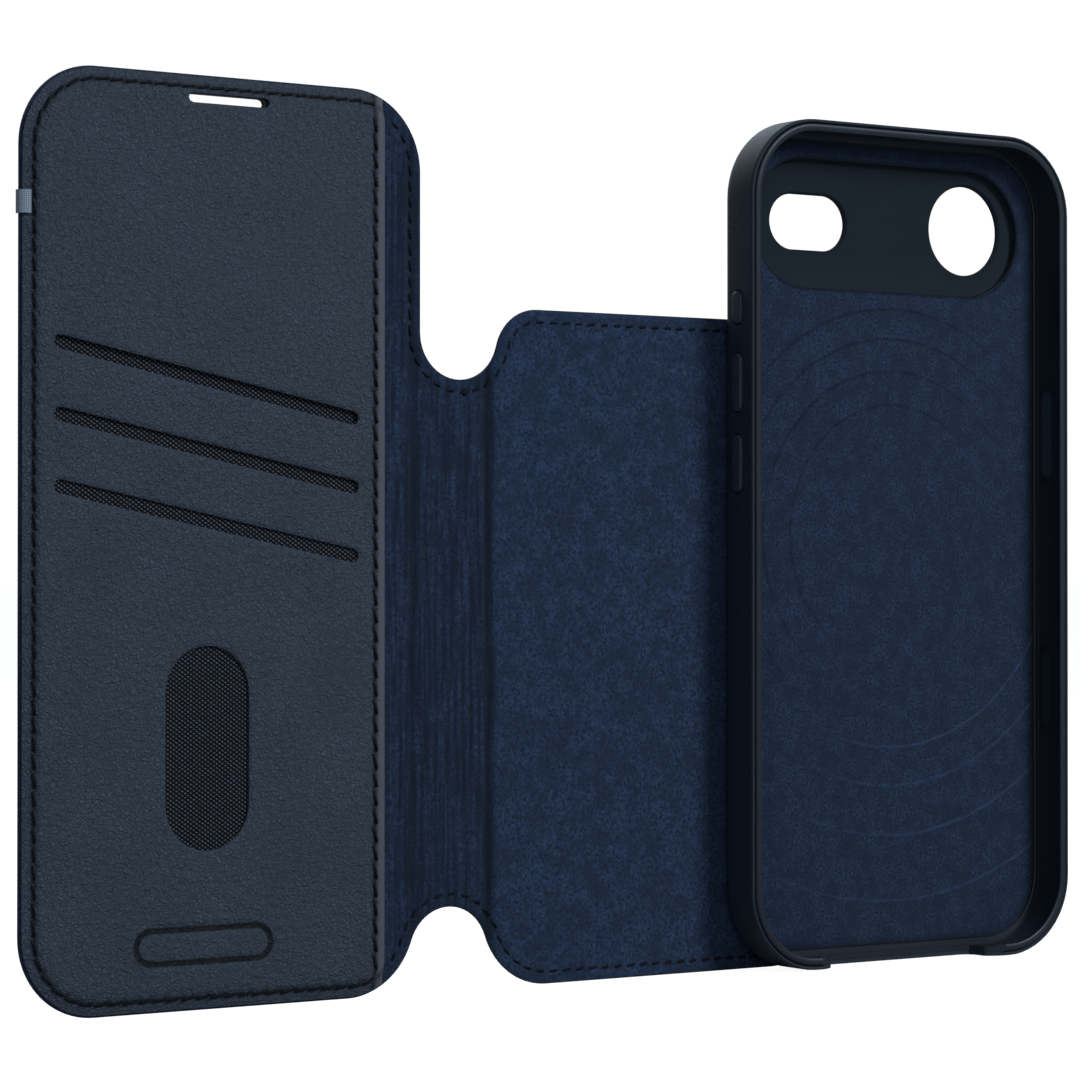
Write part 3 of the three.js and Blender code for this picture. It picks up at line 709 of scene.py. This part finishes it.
def along(path, pitch, is_closed=True):
    """Middles and directions of stitches spaced evenly along a path."""
    ends = np.roll(path, -1, axis=0) if is_closed else path[1:]
    starts = path if is_closed else path[:-1]
    lengths = np.linalg.norm(ends - starts, axis=1)
    steepness = np.abs(ends - starts)[:, 1] / lengths
    stitches_in = lengths / (pitch["level"] + (pitch["upright"] - pitch["level"]) * steepness)
    total = stitches_in.sum()
    count = max(1, round(total))
    at = (np.arange(count) + 0.5) * total / count
    before = np.concatenate([[0], np.cumsum(stitches_in)])
    index = np.clip(np.searchsorted(before, at, side="right") - 1, 0, len(lengths) - 1)
    part = ((at - before[index]) / stitches_in[index])[:, None]
    middles = starts[index] + (ends - starts)[index] * part
    return middles, (ends - starts)[index] / lengths[index][:, None]


def stitches(name, middles, directions, face, towards, length, width=0.5, rise=0.2, slant=7):
    """One mesh of short twisted thread arches, each dipping into the face at both its ends."""
    rng = random.Random(len(middles))
    points, faces = [], []
    stations, around = 7, 8
    for middle, direction, y in zip(middles, directions, face):
        tilt = math.radians(slant + rng.uniform(-3, 3))
        run = turned(np.array([direction]), 0, 0, tilt)[0]
        across = np.array([-run[1], run[0]])
        reach = length * rng.uniform(0.95, 1.04) / 2
        first = len(points)
        for k in range(stations):
            t = -1 + 2 * k / (stations - 1)
            full = math.sqrt(max(0.0, 1 - t ** 4)) * 0.96 + 0.04
            height = rise * (1 - t * t) - 0.12
            for j in range(around):
                angle = 2 * math.pi * j / around
                out = width / 2 * full * math.cos(angle)
                up = width / 2.4 * full * math.sin(angle)
                x, z = middle + run * reach * t + across * out
                points.append((x, y + towards * (height + up), z))
        for k in range(stations - 1):
            for j in range(around):
                a, b = first + k * around + j, first + k * around + (j + 1) % around
                faces.append((a, b, b + around, a + around))
        faces.append(tuple(first + j for j in range(around)))
        last = first + (stations - 1) * around
        faces.append(tuple(last + j for j in reversed(range(around))))
    return make(name, points, faces, MATERIALS["thread"], 60)


def holes_between(middles):
    """The needle holes between one stitch and the next."""
    following = np.roll(middles, -1, axis=0)
    near = np.linalg.norm(following - middles, axis=1) < 4
    return ((middles + following) / 2)[near]


def dimples(points, holes, depth, width):
    """How far the needle holes pull a face in at each point."""
    pull = np.zeros(len(points))
    for first in range(0, len(points), 2000):
        gap = np.linalg.norm(points[first:first + 2000, None, :] - holes, axis=2).min(1)
        pull[first:first + 2000] = depth * np.exp(-((gap / width) ** 2))
    return pull


EDGE_MIDDLES, EDGE_DIRECTIONS = along(folio(STITCH_INSET), LEATHER_PITCH)
EDGE_HOLES = holes_between(EDGE_MIDDLES)

# Folio skins ---


def over_board(points, edge):
    """1 where a stiffening board lies behind a point, falling to 0 beside it."""
    reach = np.full(len(points), -1e3)
    for x0, x1, z0, z1 in BOARDS:
        x, z = points[:, 0], points[:, 1]
        within = np.minimum.reduce([x - x0, x1 - x, z - z0, z1 - z])
        reach = np.maximum(reach, within)
    return smoothstep(-1.7, 0, np.minimum(reach, edge - BOARD_INSET))


def outer_faces(points, edge, hole):
    lifted = over_board(points, edge)
    front = LINING_BACK + 0.05 + (OUTER_FRONT - LINING_BACK - 0.05) * lifted
    thick = 0.5 + (OUTER_BACK - OUTER_FRONT - 0.5) * smoothstep(0.6, 3.4, np.minimum(edge, hole + 1.8))
    back = front + thick
    back = back - 0.35 * bump_at(edge, 0, 0.3) - 0.12 * bump_at(hole, 0, 0.3)
    back = back - dimples(points, EDGE_HOLES, 0.1, 0.55)
    return front, back, {}


def creases():
    """Fine vertical creases from opening and closing: x, depth, half width and z span."""
    rng = random.Random(11)
    lines = [(-16.3, 0.17, 0.9, -10, 200), (-0.3, 0.25, 1.0, -10, 200)]
    for _ in range(18):
        low = rng.uniform(-10, 60)
        x = rng.triangular(-20.3, -3.5, -14.5)
        lines.append((x, rng.uniform(0.03, 0.07), rng.uniform(0.2, 0.4), low, low + rng.uniform(30, 90)))
    lines.append((-2.4, 0.06, 0.3, 5, 118))
    return lines


CREASES = creases()
PANEL_RING = ((25.4, 0.07, 0.5), (22.6, 0.035, 0.5))


def ring_relief(points, cx, cz, rings):
    radius = np.hypot(points[:, 0] - cx, points[:, 1] - cz)
    return sum(depth * bump_at(radius, r, width) for r, depth, width in rings)


def lining_faces(points, edge, hole):
    x, z = points[:, 0], points[:, 1]
    press = np.zeros(len(points))
    for at, depth, width, low, high in CREASES:
        wander = 0.12 * np.sin(z / 17 + at * 3)
        ends = smoothstep(low, low + 8, z) * (1 - smoothstep(high - 8, high, z))
        press = np.maximum(press, depth * bump_at(x, at + wander, width) * ends)
    relief = np.where(x > 2, ring_relief(points, *PANEL_RING_CENTRE, PANEL_RING), 0)
    round_off = 0.22 * bump_at(edge, 0, 0.35) + 0.15 * bump_at(hole, 0, 0.3)
    pull = dimples(points, EDGE_HOLES, 0.16, 0.5)
    front = 0.02 + np.minimum(press + relief + round_off + pull, 0.3)
    back = np.full(len(points), LINING_BACK)
    # Painted shade for the creases, the needle holes and the ring's groove.
    crease = np.clip(press / 0.34 + pull * 2.5 + relief * 2.5, 0, 0.92)
    # Where the painted wrinkle shade goes: across the spine.
    streaks = smoothstep(-24, -20, x) * (1 - smoothstep(0.3, 2, x))
    return front, back, {"crease": crease, "streaks": streaks}


def fine_columns(low, high):
    """Column places: close together across the creases and folds, and wider elsewhere."""
    columns, x = [], low
    while x < high:
        columns.append(x)
        creased = -21 < x < 2.2
        x += 0.22 if creased else 1.25
    return columns


def earpiece(grow):
    return stadium(*EARPIECE, grow, 0.6)


def folio_skins():
    columns = fine_columns(COVER_LEFT, BACK_RIGHT)
    rows = np.arange(0.7, COVER_HEIGHT, 1.5)
    outers = (LEFT, ("cover_outer_leather", "spine_outer_leather")), (RIGHT, ("back_outer_leather",))
    for half, nodes in outers:
        holes = (earpiece,) if half is LEFT else ()
        skin = slab(f"{half['name']}_leather_skin", folio, (0, 0.2, 0.5, 1, 1.7, 2.3, 2.9, 3.6), outer_faces,
                    MATERIALS["outer_leather"], half["limits"], holes, columns=columns, rows=rows)
        give_across(skin, "outer_leather", half["bodies"], half["fold"], *nodes)
    for half, nodes in ((LEFT, ("cover_lining", "spine_lining")), (RIGHT, ("back_lining",))):
        holes = (earpiece,) if half is LEFT else ()
        lining = slab(f"{half['name']}_suede_lining", lambda inset: folio(inset + 0.12),
                      (0, 0.2, 0.5, 1, 1.7, 2.2, 2.7, 3.4), lining_faces,
                      MATERIALS["suede"], half["limits"], holes, columns=columns, rows=rows)
        give_across(lining, "suede", half["bodies"], half["fold"], *nodes)


def folio_stitches():
    face_of = {1: (OUTER_BACK - 0.45, "outer"), -1: (0.05, "lining")}
    path, headings = along(folio(STITCH_INSET), SUEDE_PITCH)
    for half in HALVES:
        low, high = half["limits"]
        for towards, (face, side) in face_of.items():
            middles, directions = (path, headings) if towards < 0 else (EDGE_MIDDLES, EDGE_DIRECTIONS)
            keep = (middles[:, 0] > low) & (middles[:, 0] <= high)
            if half is LEFT and towards < 0:
                keep &= middles[:, 0] > POCKET_RIGHT + 0.8
            spots = middles[keep]
            if towards > 0:
                face_y = outer_faces(spots, distance(folio(0), spots), np.full(len(spots), 1e3))[1]
            else:
                face_y = np.full(len(spots), face)
            row = stitches(f"{side}_stitches_{half['name']}", spots, directions[keep], face_y, towards,
                           2.15 if towards < 0 else 2.4, 0.52, 0.14)
            nodes = {
                ("lining", "cover"): ("cover_upper_thread", "cover_lower_thread"),
                ("lining", "back"): ("spine_upper_thread", "spine_lower_thread", "back_perimeter_thread"),
            }.get((side, half["name"]), ())
            give_across(row, "thread", half["bodies"], half["fold"], *nodes)
    knot = np.array([(HIGH_NOTCH[0] + 0.9, HIGH_NOTCH[1] - NOTCH_R - STITCH_INSET)])
    turns = [(1, 0), (0.7, 0.7), (0.7, -0.7), (0.2, 1)]
    spots = np.repeat(knot, len(turns), axis=0)
    tied = stitches("notch_thread_knot", spots, np.array(turns), np.full(len(turns), 0.0), -1, 1.5, 0.55, 0.2)
    give(tied, "thread", "spine")


# Card pockets ---


def pocket_outline(inset):
    return clipped(folio(inset + 0.4), (-1000, POCKET_RIGHT - inset))


def pocket_slot(index):
    z = SLOT["z"] - index * SLOT["pitch"]

    def loop(grow):
        flat = stadium(SLOT["x"], z, SLOT["length"], SLOT["width"], grow, 0.8)
        return turned(flat, SLOT["x"], z, SLOT_TILT)
    return loop


def window(grow):
    return stadium(*WINDOW, grow, 0.7)


PRESSED_MARK = [stadium(*MARK, grow, 0.7) for grow in (-0.62, -0.38, 0.38, 0.62)]


def straight_stitches():
    path = np.array([(POCKET_STITCH_X, 4.6), (POCKET_STITCH_X, COVER_HEIGHT - 4.6)])
    return along(path, POCKET_EDGE_PITCH, is_closed=False)


STRAIGHT_MIDDLES, STRAIGHT_DIRECTIONS = straight_stitches()


def pocket_faces(points, edge, hole):
    x = points[:, 0]
    border = distance(folio(0.4), points)
    full = smoothstep(0.3, 3.6, border)
    back = -0.12 + (POCKET_BACK + 0.12) * full
    thick = 0.34 + (POCKET_BACK - POCKET_FRONT - 0.34) * smoothstep(0.2, 3, border)
    front = back - thick
    front = front + 0.2 * bump_at(border, 0, 0.35) + 0.22 * bump_at(hole, 0, 0.28)
    right = POCKET_RIGHT - x
    front = front + 0.22 * bump_at(right, 0, 0.45)
    front = front + 0.14 * bump_at(x, POCKET_STITCH_X, 0.45)
    pull = dimples(points, EDGE_HOLES, 0.36, 0.62)
    pull = np.maximum(pull, dimples(points, holes_between(STRAIGHT_MIDDLES), 0.3, 0.62))
    front = front + pull
    ring = distance(PRESSED_MARK[1], points)
    outside = np.minimum(ring, distance(PRESSED_MARK[2], points))
    band = inside(PRESSED_MARK[2], points) & ~inside(PRESSED_MARK[1], points)
    sunk = np.where(band | (outside < 0.02), 1.0, 0.0)
    front = front + 0.2 * sunk
    # The smooth strip right of the edge stitching, which gets a painted highlight and a flatter grain.
    pressed = smoothstep(POCKET_STITCH_X + 0.3, POCKET_STITCH_X + 0.8, x)
    # Painted shade along the seams and in the needle holes; the pressed mark's band is darkened as well, partly
    # its own pressed tone and partly painted shade in its groove.
    seam_shade = np.maximum(bump_at(border, STITCH_INSET - 0.4, 0.3), bump_at(x, POCKET_STITCH_X, 0.34))
    dark = np.maximum.reduce([sunk * 0.9, seam_shade * 0.8, pull * 2.5])
    return np.minimum(front, back - 0.15), back, {"pressed": pressed, "sunk": dark}


def pocket_panel():
    holes = (earpiece, window, *(pocket_slot(i) for i in range(3)))
    seam_columns = POCKET_STITCH_X + np.array([-1, -0.6, -0.3, 0, 0.3, 0.6, 0.9])
    columns = sorted([*np.arange(COVER_LEFT, POCKET_STITCH_X - 1.2, 1.1), *seam_columns])
    rings = (0, 0.2, 0.5, 1, 1.4, 1.7, 1.95, 2.2, 2.6, 3.2)
    panel = slab("pocket_leather_panel", pocket_outline, rings, pocket_faces,
                 MATERIALS["pocket_leather"], holes=holes, hole_rings=(0, 0.15, 0.4, 0.9),
                 chains=PRESSED_MARK, columns=columns, rows=np.arange(0.5, COVER_HEIGHT, 1.2))
    give(panel, "pocket_leather", "cover", "card_pocket_panel")


def pocket_stitches():
    keep = EDGE_MIDDLES[:, 0] < POCKET_RIGHT - 0.8
    spots = EDGE_MIDDLES[keep]
    y = pocket_faces(spots, None, np.full(len(spots), 1e3))[0]
    row = stitches("pocket_perimeter_stitches", spots, EDGE_DIRECTIONS[keep], y, -1, 2.75, 0.52, 0.16, 9)
    give(row, "thread", "cover", "pocket_perimeter_thread")
    y = pocket_faces(STRAIGHT_MIDDLES, None, np.full(len(STRAIGHT_MIDDLES), 1e3))[0]
    row = stitches("pocket_edge_stitches", STRAIGHT_MIDDLES, STRAIGHT_DIRECTIONS, y, -1, 3.4, 0.66, 0.14, 19)
    give(row, "thread", "cover", "pocket_edge_thread")


def card_cloths():
    """The cloth behind each slot: a sheet sewn in at its edges, with its free edge above the slot."""
    for index, name in enumerate(("upper", "middle", "lower")):
        node = f"card_liner_{name}"
        front_y, back_y = span(node, 1)
        x0, x1 = span(node, 0)
        slope = math.tan(SLOT_TILT)
        middle = SLOT["z"] - index * SLOT["pitch"] + 5

        def outline(inset, x1=x1, middle=middle):
            loop = clipped(folio(inset + 2.9), (-1000, x1 - inset))
            top = middle + (loop[:, 0] - SLOT["x"]) * slope - inset
            return np.column_stack([loop[:, 0], np.minimum(loop[:, 1], top)])

        def faces_of(points, edge, hole, front_y=front_y, back_y=back_y):
            flat = np.ones(len(points))
            return front_y * flat, back_y * flat, {}

        cloth = slab(f"card_cloth_{name}", outline, (0, 0.6), faces_of, MATERIALS["pocket_textile"],
                     columns=np.arange(x0, x1, 4), rows=np.arange(1, 120, 4))
        give(cloth, "pocket_textile", "cover", node)
        loop = outline(0)


def edge_ribbon():
    """A plain ribbon folded round the cover's free edge, with a little slack."""
    x0, x1 = span("edge_tab", 0)
    y1 = span("edge_tab", 1)[1]
    z0, z1 = span("edge_tab", 2)
    left = x0 + 0.04
    line = [(x1, -1.04), (x1 - 0.8, -0.98), (COVER_LEFT + 0.35, -0.72), (left + 0.12, -0.35), (left, 0.2),
            (left + 0.05, 0.75), (left + 0.25, y1 - 0.1)]
    line = np.array(line)
    tangent = np.gradient(line, axis=0)
    normal = np.column_stack([tangent[:, 1], -tangent[:, 0]])
    normal /= np.linalg.norm(normal, axis=1)[:, None]
    heights = np.linspace(z0, z1, 15)
    sections = []
    for (x, y), (nx, ny) in zip(line, normal):
        ridge = 0.012 * np.cos(np.arange(15) * math.pi)
        front = [(x + nx * (0.13 + r), y + ny * (0.13 + r), z) for z, r in zip(heights, ridge)]
        rear = [(x - nx * 0.1, y - ny * 0.1, z) for z in heights[::-1]]
        sections.append(np.array(front + rear))
    tab = skinned("edge_ribbon_tab", sections, MATERIALS["edge_ribbon"], 60)
    give(tab, "edge_ribbon", "cover", "edge_tab")


# Case ---


def case_loop(inset):
    return even(CASE_X, CASE_H / 2, CASE_W, CASE_H, CASE_R, inset)


def quarter_round(back, inset, radius, steps=7):
    """A back edge turned from the flat back out to the side wall."""
    angles = np.linspace(0, math.pi / 2, steps)
    return [(back - radius * (1 - math.cos(a)), inset + radius * (1 - math.sin(a))) for a in angles]


def prism_y(name, loop, y0, y1):
    ring = [np.column_stack([loop[:, 0], np.full(len(loop), y), loop[:, 1]]) for y in (y0, y1)]
    return skinned(name, ring, MATERIALS["board"])


def prism_x(name, loop, x0, x1):
    ring = [np.column_stack([np.full(len(loop), x), loop[:, 0], loop[:, 1]]) for x in (x0, x1)]
    return skinned(name, ring, MATERIALS["board"])


def port_cutter():
    half, wide = 19, 23
    shoulder_run = []
    for t in np.linspace(0, 1, 9):
        shoulder_run.append((half + (wide - half) * t * t * (3 - 2 * t), CASE_RIM + 2.4 - 3 * t))
    right = [(half - 2, CASE_FLOOR - 0.3), (half - 0.6, CASE_FLOOR - 0.9), (half, CASE_FLOOR - 2.3),
             *shoulder_run, (wide, CASE_RIM - 2)]
    loop = [*right, *((-x, y) for x, y in reversed(right))]
    rings = [np.array([(CASE_X + x, y, z) for x, y in loop]) for z in (-5, 5)]
    return skinned("port_cutter", rings, MATERIALS["board"])


def button_cap(node):
    """The middle and the size of a button's cap in the Y-Z plane, inside its flange."""
    y0, y1 = span(node, 1)
    z0, z1 = span(node, 2)
    return (y0 + y1) / 2, (z0 + z1) / 2, y1 - y0 - 2 * BUTTON_FLANGE, z1 - z0 - 2 * BUTTON_FLANGE


def button_cutters():
    cutters = []
    for node in BUTTON_NODES:
        at = CASE_RIGHT if node == "side_button" else CASE_LEFT
        cutters.append(prism_x("button_cutter", stadium(*button_cap(node), 0.28, 0.35), at - 4, at + 4))
    return cutters


def control_cutter():
    return prism_x("control_cutter", stadium(*CONTROL_SLOT, 0, 0.5), CASE_RIGHT - 4, CASE_RIGHT + 4)


def recess_loop(grow):
    return stadium(*RECESS, grow)


def case_wrap():
    thick = WALL["wrap"]
    rim = [(CASE_RIM + 0.9, 0), (CASE_RIM + 0.4, 0.03), (CASE_RIM + 0.14, 0.14), (CASE_RIM + 0.02, 0.33),
           (CASE_RIM + 0.05, 0.5), (CASE_RIM + 0.2, 0.64), (CASE_RIM + 0.5, thick)]
    inner = quarter_round(CASE_BACK - thick, thick, 1.4)[::-1]
    profile = [(CASE_BACK, 7), *quarter_round(CASE_BACK, 0, 2.2), (CASE_BACK - 5, 0), *rim, *inner,
               (CASE_BACK - thick, 7)]
    wrap = skinned("case_leather_wrap", sections_y(case_loop, profile), MATERIALS["outer_leather"])
    cut(wrap, [prism_y("recess_cutter", recess_loop(1.5), -20, 20), port_cutter(), *button_cutters()])
    give(wrap, "outer_leather", "phone_case", "case_outer_leather")


def case_shell():
    outer = WALL["wrap"] + WALL["gap"]
    inner = outer + WALL["shell"]
    lip = inner + WALL["lip"]
    back = CASE_BACK - outer
    rim = [(SHELL_RIM + 0.6, outer), (SHELL_RIM + 0.22, outer + 0.1), (SHELL_RIM + 0.03, outer + 0.32),
           (SHELL_RIM, outer + 0.6), (SHELL_RIM + 0.02, lip - 0.35), (SHELL_RIM + 0.16, lip - 0.1),
           (SHELL_RIM + 0.4, lip), (SHELL_RIM + 0.75, lip - 0.06), (SHELL_RIM + 1.2, inner)]
    ledge = [(CASE_FLOOR - 0.15, inner), (CASE_FLOOR + 0.06, inner + 0.12), (CASE_FLOOR + 0.1, inner + 0.9),
             (CASE_FLOOR + 0.25, inner + 1.05), (LINING_CASE_BACK + 0.05, inner + 1.1)]
    profile = [(back, 7), *quarter_round(back, outer, 1.4), *rim, *ledge, (LINING_CASE_BACK + 0.05, 7)]
    shell = skinned("case_inner_shell", sections_y(case_loop, profile), MATERIALS["case_shell"])
    openings = [prism_y("recess_cutter", recess_loop(1.5), -20, 20), port_cutter(), control_cutter()]
    cut(shell, [*openings, *button_cutters()])
    give(shell, "case_shell", "phone_case", "case_shell")


CASE_RINGS = (
    (25.2, 0.06, 0.35), (31.5, 0.05, 0.3), (37.7, 0.045, 0.28), (41, 0.05, 0.3),
    (48.4, 0.06, 0.28), (58, 0.06, 0.26), (70.6, 0.07, 0.26),
)


def case_lining_outline(inset):
    edge = span("case_lining", 0)[0] - CASE_LEFT + inset
    return rounded(CASE_X, CASE_H / 2, CASE_W - 2 * edge, CASE_H - 2 * edge, CASE_R - edge)


def case_lining_faces(points, edge, hole):
    relief = ring_relief(points, *CASE_RING_CENTRE, CASE_RINGS)
    front = CASE_FLOOR + 0.08 + 0.14 * bump_at(edge, 0, 0.5) + 0.12 * bump_at(hole, 0, 0.4) - 0.7 * relief
    back = np.full(len(points), LINING_CASE_BACK)
    # Painted shade round the camera recess and along the lining's edge by the walls.
    shadowed = 0.95 * bump_at(hole, 0, 0.5) + 0.5 * bump_at(edge, 0, 1.1)
    return front, back, {"crease": np.minimum(shadowed, 0.95)}


def case_lining():
    radii = (24.7, 25.2, 25.7, 31.1, 31.5, 31.9)
    chains = [stadium(*CASE_RING_CENTRE, 2 * r, 2 * r, 0, 1.4) for r in radii]
    lining = slab("case_suede_lining", case_lining_outline, (0, 0.4, 1, 1.8), case_lining_faces,
                  MATERIALS["case_suede_shaded"], holes=(recess_loop,), hole_rings=(0, 0.3, 0.8), chains=chains,
                  columns=np.arange(CASE_LEFT, CASE_RIGHT, 0.75), rows=np.arange(0.5, CASE_H, 0.8))
    give(lining, "suede", "phone_case", "case_lining")


def camera_surround():
    front, back = span("camera_insert", 1)
    plate_front, plate_back, wall = CASE_FLOOR + 1.6, CASE_FLOOR + 3.0, 1.2

    def outline(inset):
        cx, cz, width, height = RECESS
        return even(cx, cz, width + 2 * wall, height + 2 * wall, height / 2 + wall, inset, 20, (20, 1))

    profile = [(plate_front, 9), (plate_front, wall + 0.4), (plate_front - 0.08, wall + 0.12),
               (plate_front - 0.35, wall), (front + 0.2, wall), (front + 0.05, wall - 0.08),
               (front, wall - 0.3), (front, 0.15), (front + 0.15, 0), (back - 0.8, 0), (back - 0.25, 0.15),
               (back, 0.6), (back, wall + 0.4), (back - 0.2, wall + 0.8), (plate_back + 0.3, wall + 0.9),
               (plate_back, wall + 1.2), (plate_back, 9)]
    body = skinned("camera_surround", sections_y(outline, profile), MATERIALS["camera_insert"])
    flare = [(plate_front - 1, 0.75), (plate_front + 0.02, 0.45), (plate_front + 0.4, 0.05),
             (plate_front + 0.7, 0), (plate_back - 0.4, 0.05), (plate_back + 0.02, 0.4),
             (plate_back + 3, 0.6)]

    def lens_outline(grow):
        x, z, radius = LENS
        return even(x, z, 2 * radius, 2 * radius, radius, -grow, 20, (1, 1))

    def flash_outline(grow):
        x, z, width, height = FLASH
        return even(x, z, width, height, height / 2, -grow, 16, (8, 1))

    lens = skinned("lens_cutter", sections_y(lens_outline, flare), MATERIALS["board"])
    flash = skinned("flash_cutter", sections_y(flash_outline, flare), MATERIALS["board"])
    cut(body, [lens, flash], 30)
    give(body, "camera_insert", "phone_case", "camera_insert")


def buttons():
    for node in BUTTON_NODES:
        x0, x1 = span(node, 0)
        side = 1 if node == "side_button" else -1
        outer, inner = (x1, x0) if side > 0 else (x0, x1)
        profile = [(outer, 0.7), (outer, 0.45), (outer - side * 0.05, 0.22), (outer - side * 0.17, 0.07),
                   (outer - side * 0.35, 0), (inner + side * 0.36, 0),
                   (inner + side * 0.35, -BUTTON_FLANGE), (inner, -BUTTON_FLANGE)]
        y, z, width, height = button_cap(node)
        sections = []
        for x, inset in profile:
            loop = even(y, z, width, height, width / 2, inset, 8, (1, 10))
            sections.append(np.column_stack([np.full(len(loop), x), loop[:, 0], loop[:, 1]]))
        give(skinned(f"{node}_cap", sections, MATERIALS["button"]), "button", node, node)


# Scene ---


def carried_over():
    """Finishes for the CAD pieces that stay as they are: the boards and magnets inside."""
    for node, obj in frame["nodes"].items():
        slot = "magnet" if "magnet" in node else "board"
        obj.data.materials.clear()
        obj.data.materials.append(MATERIALS[slot])


VIEW = {"aim": (10.97, 0, 80.5), "azimuth": -33.93, "rise": -0.59, "distance": 653.8, "lens": 120.16}


def camera():
    data = bpy.data.cameras.new("camera")
    data.lens, data.sensor_width = VIEW["lens"], 36
    obj = bpy.data.objects.new("camera", data)
    a, e = math.radians(VIEW["azimuth"]), math.radians(VIEW["rise"])
    back = Vector((math.sin(a) * math.cos(e), -math.cos(a) * math.cos(e), math.sin(e)))
    obj.location = Vector(to_frame(VIEW["aim"])) + back * VIEW["distance"] * MM
    obj.rotation_euler = (-back).to_track_quat("-Z", "Y").to_euler()
    bpy.context.scene.collection.objects.link(obj)
    bpy.context.scene.camera = obj


def area_light(name, place, aim, size, watts, color):
    data = bpy.data.lights.new(name, "AREA")
    data.size, data.energy, data.color = size, watts, color
    obj = bpy.data.objects.new(name, data)
    obj.location = place
    obj.rotation_euler = (Vector(aim) - Vector(place)).to_track_quat("-Z", "Y").to_euler()
    bpy.context.scene.collection.objects.link(obj)


def studio():
    """Three soft lights, and a world that lights dimly but looks white to the camera."""
    world = bpy.data.worlds.new("studio")
    world.use_nodes = True
    tree = world.node_tree
    soft = tree.nodes["Background"]
    soft.inputs["Color"].default_value = (0.8, 0.9, 1, 1)
    soft.inputs["Strength"].default_value = 0.14
    white = tree.nodes.new("ShaderNodeBackground")
    white.inputs["Strength"].default_value = 1.3
    seen = tree.nodes.new("ShaderNodeLightPath")
    mixed = tree.nodes.new("ShaderNodeMixShader")
    tree.links.new(seen.outputs["Is Camera Ray"], mixed.inputs["Fac"])
    tree.links.new(soft.outputs[0], mixed.inputs[1])
    tree.links.new(white.outputs[0], mixed.inputs[2])
    tree.links.new(mixed.outputs[0], tree.nodes["World Output"].inputs["Surface"])
    bpy.context.scene.world = world
    aim = (0, 0, 0.08)
    cool = (0.8, 0.9, 1)
    area_light("key", (0.5, -0.95, 0.8), aim, 0.4, 13.5, cool)
    area_light("fill", (-0.6, -0.9, 0.55), aim, 0.9, 3.2, cool)
    area_light("back", (0.2, 1.0, 0.7), aim, 0.9, 6, cool)


def floor():
    """A pale floor that looks white to the camera."""
    mesh = bpy.data.meshes.new("floor")
    reach = 30
    corners = [(-reach, -reach, 0), (reach, -reach, 0), (reach, reach, 0), (-reach, reach, 0)]
    mesh.from_pydata(corners, [], [(0, 1, 2, 3)])
    finish = Finish("floor", 0.9, Specular_IOR_Level=0.1)
    finish.color(finish.mix(finish.noise(400), (0.4, 0.4, 0.4), (0.41, 0.41, 0.41)))
    seen = finish.node("ShaderNodeLightPath").outputs["Is Camera Ray"]
    finish.shader.inputs["Emission Color"].default_value = (1, 1, 1, 1)
    finish.link(finish.math("MULTIPLY", seen, 0.93), finish.shader.inputs["Emission Strength"])
    mesh.materials.append(finish.material)
    obj = bpy.data.objects.new("floor", mesh)
    obj.location.z = -0.0002
    bpy.context.scene.collection.objects.link(obj)


bpy.context.scene.view_settings.view_transform = "Standard"
camera()
studio()
floor()
carried_over()
folio_skins()
folio_stitches()
pocket_panel()
pocket_stitches()
card_cloths()
edge_ribbon()
case_wrap()
case_shell()
case_lining()
camera_surround()
buttons()

bpy.context.view_layer.update()
